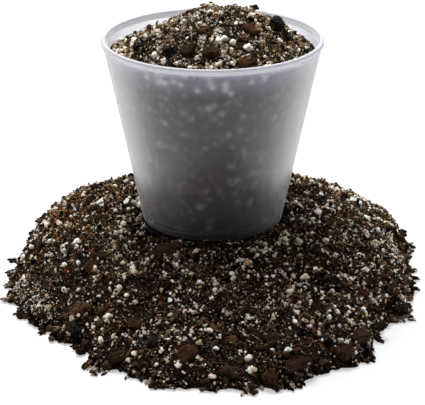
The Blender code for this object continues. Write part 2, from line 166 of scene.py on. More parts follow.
print("studio: sky level", SKY_LEVEL, "and", DIM_END, "of that at the dim end")

# %% [markdown]
# The floor is a plain white sheet. What is seen directly, in a mirror or through the plastic is a
# greyer sheet plus a light of its own, so that it is just white and the heap's shadow still shows.
# Away from the lamp the floor gets less light, so its own light grows with the distance.

# %% The floor
FLOOR_REACH = 3.0
FLOOR_Z = -0.0001
SHEET_LEVEL = 0.9
SEEN_SHEET_LEVEL = 0.45
SHEET_ROUGHNESS = 0.9
GLOW = (("From Min", 0.45), ("From Max", 1.3), ("To Min", 0.46), ("To Max", 0.72))

corners = ((-1, -1), (1, -1), (1, 1), (-1, 1))
floor_corners = [(FLOOR_REACH * x, FLOOR_REACH * y, FLOOR_Z) for x, y in corners]
floor_mesh = bpy.data.meshes.new("floor")
floor_mesh.from_pydata(floor_corners, [], [(0, 1, 2, 3)])
floor = bpy.data.objects.new("floor", floor_mesh)
bpy.context.scene.collection.objects.link(floor)
floor_look = bpy.data.materials.new("white_floor")
tree = empty_tree(floor_look)
sheet, seen_sheet = (
    put_node(tree, "BsdfPrincipled", ("Base Color", (level, level, level, 1.0)),
             ("Roughness", SHEET_ROUGHNESS))
    for level in (SHEET_LEVEL, SEEN_SHEET_LEVEL))
place = put_node(tree, "TexCoord").outputs["Object"]
distance = put_node(tree, "VectorMath", (0, place), operation="LENGTH").outputs["Value"]
strength = put_node(tree, "MapRange", ("Value", distance), *GLOW)
glow = put_node(tree, "Emission", ("Strength", strength))
glowing = put_node(tree, "AddShader", (0, seen_sheet), (1, glow))
looking = any_ray(tree, "Is Camera Ray", "Is Glossy Ray", "Is Transmission Ray")
lit = put_node(tree, "MixShader", (0, looking), (1, sheet), (2, glowing))
put_node(tree, "OutputMaterial", ("Surface", lit))
floor_mesh.materials.append(floor_look)
print("floor:", 2 * FLOOR_REACH, "m wide")

# %% [markdown]
# ## The shapes underneath
#
# The heap and the dome in the cup are height formulas over the floor plan. They are the formulas
# and sizes of the solid model, so that the fine surfaces lie on the solids and every chip keeps
# its bed. The sizes that a solid's box can tell are read from it.

# %% Sizes of the cup and its fill
CUP_LOW, CUP_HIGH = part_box("cup")
CUP_FOOT_Z = CUP_LOW[2]
CUP_RIM_Z = CUP_HIGH[2]
CUP_HEIGHT = CUP_RIM_Z - CUP_FOOT_Z
RIM_RADIUS = (CUP_HIGH[0] - CUP_LOW[0]) / 2
RIM_WIDTH = 0.0026
RIM_HEIGHT = 0.0027
RIM_STAND_OUT = 0.0005
RIM_ROUNDING = 0.0007
FOOT_RADIUS = 0.0385
FOOT_ROUNDING = 0.0015
FOOT_RING_WIDTH = 0.0035
FOOT_RECESS = 0.0012
WALL_THICKNESS = 0.0018
FLOOR_THICKNESS = 0.0020
INNER_CORNER_RADIUS = 0.0030
WALL_LEAN = (RIM_RADIUS - RIM_STAND_OUT - FOOT_RADIUS) / CUP_HEIGHT
INSIDE_FLOOR = FOOT_RECESS + FLOOR_THICKNESS

FILL_GAP = 0.0003
FILL_EDGE_DROP = 0.0075
FILL_CROWN_RISE = 0.0155
FILL_DOME_POWER = 2.3
FILL_LEAN = 0.065
FILL_LUMP_HEIGHT = 0.0016
FILL_LUMP_SPAN = 0.0120
FILL_LUMP_FADE_POWER = 6

print("cup: rim", round(2000 * RIM_RADIUS, 1), "mm across, height", round(1000 * CUP_HEIGHT, 1), "mm")

# %% [markdown]
# The heap's outline is round with swells and coves. Each is written as its bearing in degrees, how
# far it stands out in metres, with a minus for a cove, and its half-width in degrees.

# %% Sizes of the heap
HEAP_HALF_WIDTH = 0.1190
HEAP_FRONT_REACH = 0.1430
HEAP_BACK_REACH = 0.1240
HEAP_MIDDLE_Y = 0.0190
HEAP_CROWN_HEIGHT = 0.0410
HEAP_EDGE_HEIGHT = 0.0020
HEAP_FALL_POWER = 2.7
HEAP_FRONT_ROUNDNESS = 2.0
HEAP_BACK_ROUNDNESS = 3.0
HEAP_LUMP_HEIGHT = 0.0016
HEAP_LUMP_SPAN = 0.0150
HEAP_LUMP_FADE_SHARE = 0.17
HEAP_EDGE_LUMP = 0.0025
SEAT_GAP = 0.0003
OUTLINE_SWELLS = (
    (166, -0.007, 20),
    (208, 0.003, 8),
    (228, -0.008, 6),
    (239, -0.009, 6),
    (252, -0.007, 4),
    (265, 0.004, 5),
    (286, 0.008, 8),
    (302, 0.010, 6),
    (326, 0.004, 9),
)
print("heap:", round(2000 * HEAP_HALF_WIDTH), "mm wide,", round(1000 * HEAP_CROWN_HEIGHT), "mm high")

# %% [markdown]
# Loose mix has no straight lines, so every formula here gets smooth noise: random numbers at the
# corners of a grid, eased between them. A material's noise node gives the same kind of unevenness,
# but only as shading, and here it has to move points.

# %% Two kinds of smooth noise
LATTICE_SIZE = 64
CLOUD_SIZE = 16
CLOUD_OFFSET = 1000.0


def lattice_bumps(x, y, span, seed):
    """Random heights from -1 to 1 on a square lattice, eased between corners: t * t * (3 - 2 * t)."""
    heights = np.random.default_rng(seed).uniform(-1.0, 1.0, (LATTICE_SIZE, LATTICE_SIZE))
    u = np.asarray(x, dtype=float) / span + LATTICE_SIZE / 2
    v = np.asarray(y, dtype=float) / span + LATTICE_SIZE / 2
    column, row = np.floor(u).astype(int), np.floor(v).astype(int)
    ease_u = (u - column) ** 2 * (3 - 2 * (u - column))
    ease_v = (v - row) ** 2 * (3 - 2 * (v - row))

    def corner(step_u, step_v):
        return heights[(column + step_u) % LATTICE_SIZE, (row + step_v) % LATTICE_SIZE]

    near = corner(0, 0) * (1 - ease_u) + corner(1, 0) * ease_u
    far = corner(0, 1) * (1 - ease_u) + corner(1, 1) * ease_u
    return near * (1 - ease_v) + far * ease_v


def cloud_bumps(points, span, seed):
    """The same in three dimensions: random values at the corners of cubes of side span, eased."""
    values = np.random.default_rng(seed).uniform(-1.0, 1.0, (CLOUD_SIZE, CLOUD_SIZE, CLOUD_SIZE))
    scaled = np.asarray(points) / span + CLOUD_OFFSET
    low = np.floor(scaled).astype(int)
    part = scaled - low
    ease = part ** 2 * (3 - 2 * part)
    total = 0.0
    for corner in np.ndindex(2, 2, 2):
        share = np.prod(np.where(corner, ease, 1 - ease), axis=-1)
        cell = (low + corner) % CLOUD_SIZE
        total = total + share * values[cell[..., 0], cell[..., 1], cell[..., 2]]
    return total


print("three bumps, 5 mm apart:", np.round(lattice_bumps((0, 0.005, 0.010), 0, HEAP_LUMP_SPAN, seed=12), 2))

# %% [markdown]
# A turned wall is a radius for each height, and a mound of mix is a height for each place on the
# floor. As formulas they can be asked anywhere, so the grains find the surface they lie on without
# a search through a mesh.

# %% The wall's and the heap's formulas
def wall_outer(height):
    """Outer radius of the cup's wall: the foot's radius plus the lean times the height."""
    return FOOT_RADIUS + WALL_LEAN * height


def wall_inner(height):
    """Inner radius of the wall: the outer one less the wall's thickness."""
    return wall_outer(height) - WALL_THICKNESS


def swelled(reach, bearing, swells):
    """Add size * e^-(turn / half width)^2 for each swell, with turn the angle from its middle."""
    for middle, size, half_width in swells:
        turn = np.angle(np.exp(1j * (bearing - math.radians(middle))))
        reach = reach + size * np.exp(-(turn / math.radians(half_width)) ** 2)
    return reach


def heap_reach(bearing):
    """Reach from the heap's middle: (|cos|/a)^n + (|sin|/b)^n = r^-n, plus swells and a ragged edge."""
    ahead = np.sin(bearing) < 0
    depth = np.where(ahead, HEAP_FRONT_REACH + HEAP_MIDDLE_Y, HEAP_BACK_REACH - HEAP_MIDDLE_Y)
    power = np.where(ahead, HEAP_FRONT_ROUNDNESS, HEAP_BACK_ROUNDNESS)
    across = (np.abs(np.cos(bearing)) / HEAP_HALF_WIDTH) ** power
    along = (np.abs(np.sin(bearing)) / depth) ** power
    reach = swelled((across + along) ** (-1 / power), bearing, OUTLINE_SWELLS)
    rim_x, rim_y = HEAP_HALF_WIDTH * np.cos(bearing), HEAP_HALF_WIDTH * np.sin(bearing)
    return reach + HEAP_EDGE_LUMP * lattice_bumps(rim_x, rim_y, HEAP_LUMP_SPAN, seed=11)


def heap_share(x, y):
    """How far out on the heap a place is: 0 at the heap's middle and 1 at its edge."""
    return np.hypot(x, y - HEAP_MIDDLE_Y) / heap_reach(np.arctan2(y - HEAP_MIDDLE_Y, x))


def heap_surface(x, y):
    """Height of the heap: edge + (crown - edge) * (1 - share^p), plus lumps."""
    share = heap_share(x, y)
    fall = np.clip(share, 0, 1) ** HEAP_FALL_POWER
    plain_height = HEAP_EDGE_HEIGHT + (HEAP_CROWN_HEIGHT - HEAP_EDGE_HEIGHT) * (1 - fall)
    from_foot = (np.hypot(x, y) - FOOT_RADIUS) / HEAP_LUMP_SPAN
    off_rim = (1 - share) / HEAP_LUMP_FADE_SHARE
    lump_height = HEAP_LUMP_HEIGHT * np.clip(from_foot, 0, 1) * np.clip(off_rim, 0, 1)
    return plain_height + lump_height * lattice_bumps(x, y, HEAP_LUMP_SPAN, seed=12)


print("heap in front of the foot:", round(1000 * float(heap_surface(0.0, -0.04)), 1), "mm high")

# %% [markdown]
# The dome in the cup starts below the rim, inside the wall, and rises over it.

# %% The dome's formula
FILL_EDGE_RADIUS = wall_inner(CUP_HEIGHT - FILL_EDGE_DROP) - FILL_GAP


def fill_surface(x, y):
    """Height of the dome in the cup: rises as 1 - share^p, leans to the right, and has lumps."""
    share = np.clip(np.hypot(x, y) / FILL_EDGE_RADIUS, 0, 1)
    rise = (FILL_CROWN_RISE + FILL_EDGE_DROP + FILL_LEAN * x) * (1 - share ** FILL_DOME_POWER)
    lump_height = FILL_LUMP_HEIGHT * (1 - share ** FILL_LUMP_FADE_POWER)
    lumps = lump_height * lattice_bumps(x, y, FILL_LUMP_SPAN, seed=21)
    return CUP_RIM_Z - FILL_EDGE_DROP + rise + lumps


print("dome:", round(1000 * float(fill_surface(0.0, 0.0) - CUP_RIM_Z), 1), "mm above the rim in the middle")

# %% [markdown]
# Where loose mix runs out it leaves coves and tongues. The solid's outline is already uneven, and
# the fine skin pulls it in by bumps of two sizes and by a few wide coves that the photo shows.

# %% The ragged outline
HEAP_AROUND = 720
FARTHEST = 0.3
HALVINGS = 40
EDGE_PULLED_IN = 0.0052
EDGE_BUMPS = ((0.0018, 0.0034, 41), (0.0034, 0.0085, 43))
EDGE_COVES = ((12, -0.0045, 12), (-20, -0.0030, 8), (-45, -0.0055, 9), (-68, -0.0030, 6))


def heap_reach_from_cup(bearing):
    """How far from the cup's axis the heap's edge lies, for an array of bearings, by halving."""
    near = np.full(bearing.shape, FOOT_RADIUS)
    far = np.full(bearing.shape, FARTHEST)
    for _ in range(HALVINGS):
        middle = (near + far) / 2
        inside = heap_share(middle * np.cos(bearing), middle * np.sin(bearing)) < 1
        near, far = np.where(inside, middle, near), np.where(inside, far, middle)
    return near


edge_bearing = np.linspace(0, 2 * np.pi, HEAP_AROUND, endpoint=False)
edge_reach = heap_reach_from_cup(edge_bearing)
edge_x, edge_y = edge_reach * np.cos(edge_bearing), edge_reach * np.sin(edge_bearing)
edge_reach = edge_reach - EDGE_PULLED_IN
for height, span, seed in EDGE_BUMPS:
    edge_reach = edge_reach + height * lattice_bumps(edge_x, edge_y, span, seed)
edge_reach = swelled(edge_reach, edge_bearing, EDGE_COVES)


def from_edge(x, y):
    """How far inside the ragged outline a place lies, as seen from the cup's axis."""
    return np.interp(np.arctan2(y, x), edge_bearing, edge_reach, period=2 * np.pi) - np.hypot(x, y)


print("reach of the outline:", round(edge_reach.min() * 1000), "to", round(edge_reach.max() * 1000), "mm")

# %% [markdown]
# Loose mix isn't smooth: its top is a jumble of crumbs. Three layers of bumps give that. In front
# of the cup the mix also dips to the foot's lower edge, where the photo shows a dark line. The
# dome in the cup lies a little under its solid, to leave room for grains, and lower still behind
# its crest and at its shoulders, where the photo's outline is lower. One lump stands there, and the
# drop leaves out its place.

# %% The crumbly tops
FOOT_DIP_DEPTH = 0.0030
FOOT_DIP_WIDTH = 0.0055
EDGE_SLOPE = 0.0080
EDGE_SHARE = 0.2
CALM_SHARE = 0.35
GRAIN_ROOM = 0.0012
REAR_DROP = 0.0032
REAR_FROM = -0.006
REAR_TO = 0.024
SHOULDER_DROP = 0.0032
SHOULDER_FROM = -0.012
SHOULDER_TO = 0.012
SHOULDER_X = (-0.030, -0.012, 0.012, 0.030)
SHOULDER_SHARE = (1.0, 0.0, 0.0, 0.6)
REAR_LUMP = (0.0227, 0.0106)
REAR_LUMP_SPREAD = 0.0080


def eased(value, low, high):
    """0 below low, 1 above high, and t * t * (3 - 2 * t) between."""
    t = np.clip((value - low) / (high - low), 0, 1)
    return t * t * (3 - 2 * t)


def crumble(x, y):
    """Bumps: 1.0 mm high over 6 mm, 0.9 mm over 3.6 mm and 0.5 mm over 2 mm."""
    return (0.0010 * lattice_bumps(x, y, 0.0060, seed=33)
            + 0.0009 * lattice_bumps(x, y, 0.0036, seed=31)
            + 0.0005 * lattice_bumps(x + 0.0013, y, 0.0020, seed=32))


def heap_top(x, y):
    """The heap with its crumbs, eased down to the ragged outline, and dipped at the foot's front."""
    from_foot = (np.hypot(x, y) - FOOT_RADIUS) / FOOT_DIP_WIDTH
    near = np.clip(1 - from_foot, 0, 1) ** 1.5
    in_front = np.clip(-0.2 - 1.6 * y / np.maximum(np.hypot(x, y), 1e-6), 0, 1)
    calm = CALM_SHARE + (1 - CALM_SHARE) * np.clip(from_foot * 2, 0, 1)
    slope = np.clip(from_edge(x, y) / EDGE_SLOPE, 0, 1)
    plain = heap_surface(x, y) * (EDGE_SHARE + (1 - EDGE_SHARE) * slope * (2 - slope))
    return plain + crumble(x, y) * slope ** 0.5 * calm - FOOT_DIP_DEPTH * near * in_front


def fill_top(x, y):
    """The dome with its crumbs, less the room for grains and the drops. All fade out at the wall."""
    share = np.clip(np.hypot(x, y) / FILL_EDGE_RADIUS, 0, 1)
    from_lump = (x - REAR_LUMP[0]) ** 2 + (y - REAR_LUMP[1]) ** 2
    shoulder = SHOULDER_DROP * np.interp(x, SHOULDER_X, SHOULDER_SHARE)
    drop = REAR_DROP * eased(y, REAR_FROM, REAR_TO) + shoulder * eased(y, SHOULDER_FROM, SHOULDER_TO)
    drop = drop * (1 - np.exp(-from_lump / REAR_LUMP_SPREAD ** 2))
    return fill_surface(x, y) + (crumble(x + 0.3, y) - GRAIN_ROOM - drop) * (1 - share ** 8)


print("dome's top:", round(1000 * float(fill_top(0.0, 0.0) - CUP_RIM_Z), 1), "mm above the rim in the middle")

# %% [markdown]
# ## From arrays to meshes
#
# A finished surface here is a stack of closed rings with a point at each end, like the staves of
# a lantern, or a stack whose last ring joins the first, like a tyre. One function gives the
# triangles of such a stack, and with them a square map on which no two of them overlap.

# %% Skins over rings
def skin(count, around, loop=False):
    """Triangles over count rings of around points, and their corners on a square map.

    A corner at row i and step j is point i * around + j, and (j / around, (i + 1) / (count + 1)) on
    the map. Without a loop, row -1 and row count are the end points, after all the rings' points.
    """
    rows = count if loop else count - 1
    i, j = np.meshgrid(np.arange(rows), np.arange(around), indexing="ij")
    square = np.stack([[i, j], [i, j + 1], [i + 1, j + 1], [i + 1, j]])
    square = square.transpose(2, 3, 0, 1).reshape(-1, 4, 2)
    cells = [square[:, [0, 1, 2]], square[:, [0, 2, 3]]]
    if not loop:
        j, low, high = np.arange(around), np.zeros(around), np.full(around, count)
        cells.append(np.stack([[low - 1, j + 0.5], [low, j + 1], [low, j]]).transpose(2, 0, 1))
        cells.append(np.stack([[high, j + 0.5], [high - 1, j], [high - 1, j + 1]]).transpose(2, 0, 1))
    row, step = np.moveaxis(np.concatenate(cells), -1, 0)
    faces = (row % count) * around + step % around
    if not loop:
        faces = np.where(row < 0, count * around, np.where(row == count, count * around + 1, faces))
    return faces.astype(int), np.stack([step / around, (row + 1) / (count + 1)], -1)


def facing_out(points, faces, chart):
    """Flip all triangles if the volume they enclose, the sum of a . (b x c) / 6, is negative."""
    corner = points[faces]
    volume = np.einsum("ij,ij->", corner[:, 0], np.cross(corner[:, 1], corner[:, 2]))
    return (faces, chart) if volume > 0 else (faces[:, ::-1], chart[:, ::-1])


print("3 rings of 8 points:", len(skin(3, 8)[0]), "triangles, or as a loop", len(skin(3, 8, True)[0]))

# %% [markdown]
# foreach_set hands a whole array to a mesh at once, which from_pydata does triangle by triangle.
# Every piece gets its material, the body it rides on, and the solid of the model that it stands for.

# %% Into Blender
def put_mesh(name, points, faces, chart, smooth=True):
    """Write arrays of points, triangles and the triangles' map into a new object at the origin."""
    mesh = bpy.data.meshes.new(name)
    mesh.vertices.add(len(points))
    mesh.vertices.foreach_set("co", np.asarray(points, dtype=np.float32).ravel())
    mesh.loops.add(faces.size)
    mesh.loops.foreach_set("vertex_index", np.asarray(faces, dtype=np.int32).ravel())
    mesh.polygons.add(len(faces))
    mesh.polygons.foreach_set("loop_start", np.arange(0, faces.size, 3, dtype=np.int32))
    mesh.update(calc_edges=True)
    mesh.uv_layers.new(name="OFBake").data.foreach_set("uv", np.asarray(chart, dtype=np.float32).ravel())
    if smooth:
        mesh.shade_smooth()
    else:
        mesh.shade_flat()
    piece = bpy.data.objects.new(name, mesh)
    bpy.context.scene.collection.objects.link(piece)
    return piece


def points_of(piece):
    """A piece's points, as rows of x, y and z."""
    points = np.empty(len(piece.data.vertices) * 3)
    piece.data.vertices.foreach_get("co", points)
    return points.reshape(-1, 3)


def put_skin(name, rings, first_point=None, last_point=None, chart_of=None):
    """Skin an array of rings by points by 3, closed by a point at each end, or into a loop."""
    loop = first_point is None
    ends = [] if loop else [first_point, last_point]
    points = np.vstack([rings.reshape(-1, 3), *ends])
    faces, chart = facing_out(points, *skin(rings.shape[0], rings.shape[1], loop))
    if chart_of is not None:
        chart = chart_of(points[faces])
    return put_mesh(name, points, faces, chart)


def finish_piece(piece, look, slot, *solids):
    """Give a piece its material and its body, and say which solids it stands for. Its slot is not used."""
    piece.data.materials.append(look)
    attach(piece, "root")
    if solids:
        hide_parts(*solids)
    print(piece.name, len(piece.data.polygons), "faces")

# %% [markdown]
# ## Finishes
#
# Every finish needs uneven colour and a rough skin, so two node groups make those once: one gives
# a blotchy mask, and the other the height of a gritty skin. Each material places them with its own
# scale. They read Object coordinates, in metres, so scales are in blotches per metre.

# %% Shared node groups
def group_with(name, output, *inputs):
    """A new shader node group with one output, and inputs given as name, kind and first value."""
    group = bpy.data.node_groups.new(name, "ShaderNodeTree")
    for label, kind, value in inputs:
        socket = group.interface.new_socket(name=label, in_out="INPUT", socket_type="NodeSocket" + kind)
        if value is not None:
            socket.default_value = value
    group.interface.new_socket(name=output, in_out="OUTPUT", socket_type="NodeSocketFloat")
    return group, group.nodes.new("NodeGroupInput").outputs, group.nodes.new("NodeGroupOutput")


blotches, given, result = group_with(
    "blotches", "Mask", ("Vector", "Vector", None), ("Scale", "Float", 300.0), ("Low", "Float", 0.4),
    ("High", "Float", 0.6))
noise = put_node(blotches, "TexNoise", ("Vector", given["Vector"]), ("Scale", given["Scale"]),
                 ("Detail", 4.0), ("Roughness", 0.65))
mask = put_node(blotches, "MapRange", ("Value", noise), ("From Min", given["Low"]),
                ("From Max", given["High"]), interpolation_type="SMOOTHSTEP")
feed(blotches, result, ("Mask", mask))

grit, given, result = group_with(
    "grit", "Height", ("Vector", "Vector", None), ("Scale", "Float", 900.0), ("Pits", "Float", 0.5))
noise = put_node(grit, "TexNoise", ("Vector", given["Vector"]), ("Scale", given["Scale"]), ("Detail", 3.0))
cells = put_node(grit, "TexVoronoi", ("Vector", given["Vector"]), ("Scale", given["Scale"]))
height = put_node(grit, "Mix", ("Factor", given["Pits"]), ("A", noise), ("B", cells))
feed(grit, result, ("Height", height))
print("node groups:", blotches.name, grit.name)

# %% [markdown]
# A finish is then a short list of masks and colours. The class below keeps one material and its
# Principled shader, and has a call for each step that the finishes repeat.

# %% Helpers that wire a material
MIX_FACTOR, MIX_LOW, MIX_HIGH, MIX_RESULT = 0, 6, 7, 2  # where a Mix node keeps its colour sockets


class Look:
    """A Principled material with short calls for its blotches, grit, colours and bump."""

    def __init__(self, name, roughness, shine=0.5):
        self.material = bpy.data.materials.new(name)
        self.material.use_nodes = True
        self.tree = self.material.node_tree
        self.skin = self.tree.nodes["Principled BSDF"]
        self.set(("Roughness", roughness), ("Specular IOR Level", shine))
        self.where = self.put("TexCoord").outputs["Object"]

    def put(self, kind, *inputs, **settings):
        """Add a node to this material."""
        return put_node(self.tree, kind, *inputs, **settings)

    def set(self, *inputs):
        """Fill inputs of the shader itself."""
        feed(self.tree, self.skin, *inputs)

    def paint(self, colour):
        """Link a colour that changes over the surface."""
        self.set(("Base Color", colour))

    def ramp(self, value, low, high, to_low=0.0, to_high=1.0):
        """Carry a value from low..high to to_low..to_high, straight and held at the ends."""
        return self.put("MapRange", ("Value", value), ("From Min", low), ("From Max", high),
                        ("To Min", to_low), ("To Max", to_high))

    def times(self, first, second):
        """The product of two values."""
        return self.put("Math", (0, first), (1, second), operation="MULTIPLY")

    def group(self, group, where=None, **values):
        """Place a node group on Object coordinates, or on those given."""
        return self.put("Group", ("Vector", where or self.where), *values.items(), node_tree=group)

    def stretched(self, stretch, where=None, shift=(0.0, 0.0, 0.0)):
        """Coordinates times stretch plus shift."""
        return self.put("Mapping", ("Vector", where or self.where), ("Scale", stretch), ("Location", shift))

    def height(self):
        """Height above the floor."""
        return self.put("SeparateXYZ", (0, self.where)).outputs["Z"]

    def attribute(self, name):
        """A value or colour that each point of the piece stores."""
        return self.put("Attribute", attribute_name=name).outputs["Color"]

    def mix(self, mask, low, high, way="MIX"):
        """Low where the mask is 0 and high where it is 1. A colour is three numbers or an output."""
        low, high = ((*value, 1.0) if isinstance(value, tuple) else value for value in (low, high))
        return self.put("Mix", (MIX_FACTOR, mask), (MIX_LOW, low), (MIX_HIGH, high),
                        data_type="RGBA", blend_type=way).outputs[MIX_RESULT]

    def bump(self, height, strength, distance):
        """Tilt the surface's normal by a height, without moving a point."""
        bumped = self.put("Bump", ("Height", height), ("Strength", strength), ("Distance", distance))
        self.set(("Normal", bumped))


print("sockets of a colour Mix:", MIX_FACTOR, MIX_LOW, MIX_HIGH, "in and", MIX_RESULT, "out")

# %% [markdown]
# The mix's own skin is what shows between the grains. It is nearly black in the gaps and brown to
# tan where fibres catch the light, with a blotch of red bark dust here and there.

# %% The compost's skin
def compost_colour(look):
    """Black gaps, brown crumbs, tan flecks and patches of red bark dust."""
    coarse = look.group(blotches, Scale=420.0, Low=0.38, High=0.66)
    fine = look.group(blotches, Scale=1500.0, Low=0.52, High=0.74)
    red = look.group(blotches, Scale=60.0, Low=0.60, High=0.72)
    earth = look.mix(coarse, (0.0015, 0.0009, 0.0006), (0.016, 0.0095, 0.0055))
    earth = look.mix(fine, earth, (0.150, 0.105, 0.068))
    return look.mix(red, earth, (0.050, 0.022, 0.010))


compost_look = Look("compost_skin", 0.95, 0.03)
compost_look.paint(compost_colour(compost_look))
compost_look.bump(compost_look.group(grit, Scale=1100.0, Pits=0.6), 0.9, 0.0008)
print("finish:", compost_look.material.name)

# %% [markdown]
# ## The heap and the fill
#
# Both are stacks of rings about the cup's axis. The heap starts in the recess under the cup's
# foot, comes up beside the wall, runs out over the mound to its ragged edge, and closes under
# itself on the floor.

# %% The heap
def ring_at(radius, height, bearing):
    """A ring of points at a radius and a height, each a number or one per bearing."""
    return np.stack(np.broadcast_arrays(radius * np.cos(bearing), radius * np.sin(bearing), height), -1)


def chart_from_above(corners):
    """The map of a mound: its top seen from above, and its underside small in a free corner."""
    flat = (corners[..., :2] - corners[..., :2].min((0, 1))) / np.ptp(corners[..., :2], axis=(0, 1))
    a, b, c = np.moveaxis(flat, 1, 0)
    up = (b - a)[:, 0] * (c - a)[:, 1] - (b - a)[:, 1] * (c - a)[:, 0] > 0
    return np.where(up[:, None, None], flat, flat * 0.08)


HEAP_OUT = 118
HEAP_LEAST_HEIGHT = 0.0012
bearing = edge_bearing
seat_z = CUP_FOOT_Z - SEAT_GAP
seat_r = FOOT_RADIUS - FOOT_ROUNDING
start_r = FOOT_RADIUS + SEAT_GAP + 0.0006
rings = [ring_at(seat_r * 0.5, seat_z, bearing), ring_at(seat_r, seat_z, bearing),
         ring_at(seat_r + 0.001, seat_z + 0.0002, bearing)]
for out in np.linspace(0, 1, HEAP_OUT):
    radius = start_r + (edge_reach - start_r) * out
    x, y = radius * np.cos(bearing), radius * np.sin(bearing)
    rings.append(ring_at(radius, np.maximum(heap_top(x, y), HEAP_LEAST_HEIGHT), bearing))
rings.append(ring_at(edge_reach + 0.0002, 0.0006, bearing))
rings.append(ring_at(edge_reach - 0.0006, 0.0, bearing))
rings.append(ring_at(edge_reach * 0.5, 0.0, bearing))
heap = put_skin("heap_skin", np.array(rings), (0, 0, seat_z), (0, 0, 0), chart_from_above)
finish_piece(heap, compost_look.material, "compost", "heap")

# %% [markdown]
# Seen through the wall, the fill's side is mottled in its upper part, and darker and evener below, where the
# mix is pressed on in upright streaks. Near the rim it is painted bluer and paler: painted light, for the
# light that gets down beside it and along the plastic from the rim. So the side has a film of colour that
# follows the height, and the dome keeps the compost's own colour.

# %% The pressed side's finish
SIDE_TOP = CUP_RIM_Z - FILL_EDGE_DROP
DARKER_BELOW_LINE = (0.062, 0.076)
DARKER_BELOW_WANDER = 0.012
BLUER_LIGHT_BAND = (0.104, 0.124)
PALEST_LIGHT_BAND = (0.1235, SIDE_TOP + 0.0035)
DOME_SHIFT = (0.0, -0.0012, 0.0)


def film_colour(look):
    """Mottled above, darker below, and painted light under the rim, bluer and palest there, with light spots.
    """
    height = look.height()
    streaks = look.group(blotches, where=look.stretched((1.0, 1.0, 0.22)), Scale=260.0, Low=0.3, High=0.7)
    mottle = look.group(blotches, Scale=210.0, Low=0.46, High=0.68)
    uneven = look.put("Math", (0, streaks), (1, DARKER_BELOW_WANDER), (2, height), operation="MULTIPLY_ADD")
    film = look.mix(mottle, (0.040, 0.033, 0.025), (0.128, 0.110, 0.086))
    # Near the rim the film is painted bluer, then paler: painted light.
    bluer = look.mix(1.0, film, (1.0, 1.04, 1.45), "MULTIPLY")
    film = look.mix(look.ramp(height, *BLUER_LIGHT_BAND), film, bluer)
    # Below a line that wanders with the streaks, the film is darker.
    film = look.mix(look.ramp(uneven, *DARKER_BELOW_LINE), (0.0240, 0.0225, 0.0285), film)
    film = look.mix(look.ramp(height, *PALEST_LIGHT_BAND), film, (0.50, 0.485, 0.62))
    return look.mix(look.attribute("wall_spots"), film, (1.0, 0.97, 0.92))


def dome_mask(look):
    """1 on the dome and 0 on the side: inside the side's circle and above the side's top."""
    level_place = look.stretched((1.0, 1.0, 0.0), shift=DOME_SHIFT)
    away = look.put("VectorMath", (0, level_place), operation="LENGTH").outputs["Value"]
    inside = look.ramp(away, FILL_EDGE_RADIUS + 0.0002, FILL_EDGE_RADIUS - 0.0006)
    return look.times(inside, look.ramp(look.height(), SIDE_TOP - 0.0012, SIDE_TOP - 0.0002))


pressed_look = Look("pressed_compost", 0.95, 0.03)
on_top = dome_mask(pressed_look)
pressed_look.paint(pressed_look.mix(on_top, film_colour(pressed_look), compost_colour(pressed_look)))
dome_grit = pressed_look.group(grit, Scale=1100.0, Pits=0.6)
pressed_look.bump(pressed_look.times(on_top, dome_grit), 0.9, 0.0008)
print("finish:", pressed_look.material.name)

# %% [markdown]
# Perlite grains that touch the wall show through it as soft light spots. The frosted plastic would
# blur them anyway, so they are given soft edges from the start: every point of the fill's side
# stores the sum of e^-(distance / radius)^2 over all spots. The large ones are read from the
# photo as bearing in degrees, height above the foot and width in millimetres, the rest are random.

# %% Light spots behind the wall
WALL_SPOTS = ((240, 95.5, 4.2), (241, 93.5, 3.2), (244, 92.9, 2.6), (249, 94.6, 3.0), (253, 93.2, 2.4),
              (269, 95.6, 3.4), (270, 92.0, 2.4), (277, 94.0, 3.0), (277, 91.0, 2.6), (262, 90.4, 2.4),
              (280, 88.4, 2.4), (291, 94.6, 2.6), (298, 95.8, 3.2), (271, 81.9, 2.6), (268, 79.7, 2.6),
              (276, 76.7, 2.4), (258, 73.8, 2.4), (241, 69.1, 2.6), (288, 74.6, 2.4), (280, 64.4, 2.4),
              (287, 36.5, 3.0), (299, 21.0, 3.0), (260, 20.3, 2.8), (267, 6.8, 2.4), (233, 95.0, 2.8))
WALL_SPOT_SHARE = 0.62
BRIGHT_ABOVE = 0.088
FAINT_POWER = 0.35
SMALL_SPOTS = 900
SMALL_SPOT_HEIGHTS = (0.003, 0.097)
SMALL_SPOT_WIDTHS = (0.0008, 0.0019)
SMALL_SPOT_POWER = 0.25


def spot_light(bearing, height, rng):
    """Brightness from the spots, 0 to 1, at arrays of bearing and height above the foot."""
    given = np.array(WALL_SPOTS) * (math.pi / 180, 0.001, 0.001)
    where = np.append(given[:, 0], rng.uniform(0, 2 * np.pi, SMALL_SPOTS))
    level = np.append(given[:, 1], rng.uniform(*SMALL_SPOT_HEIGHTS, SMALL_SPOTS))
    width = np.append(given[:, 2] * WALL_SPOT_SHARE, rng.uniform(*SMALL_SPOT_WIDTHS, SMALL_SPOTS))
    power = np.append(np.where(given[:, 1] > BRIGHT_ABOVE, 1.0, FAINT_POWER),
                      SMALL_SPOT_POWER * rng.uniform(0, 1, SMALL_SPOTS) ** 2)
    power = power * np.clip(0.35 + level / 0.10, 0, 1)
    total = np.zeros(bearing.shape)
    for spot in range(len(where)):
        aside = np.angle(np.exp(1j * (bearing - where[spot]))) * wall_inner(level[spot])
        total += power[spot] * np.exp(-(aside ** 2 + (height - level[spot]) ** 2) / width[spot] ** 2)
    return np.clip(total, 0, 1)


print("light spots:", len(WALL_SPOTS), "placed and", SMALL_SPOTS, "random")

# %% [markdown]
# The fill's side isn't pressed flat against the cup either. Between the places where it touches,
# it stands back by up to 1.4 mm, and those places look more blurred through the frosted wall. Its
# dome and its side are one skin, so that no gap can open between them.

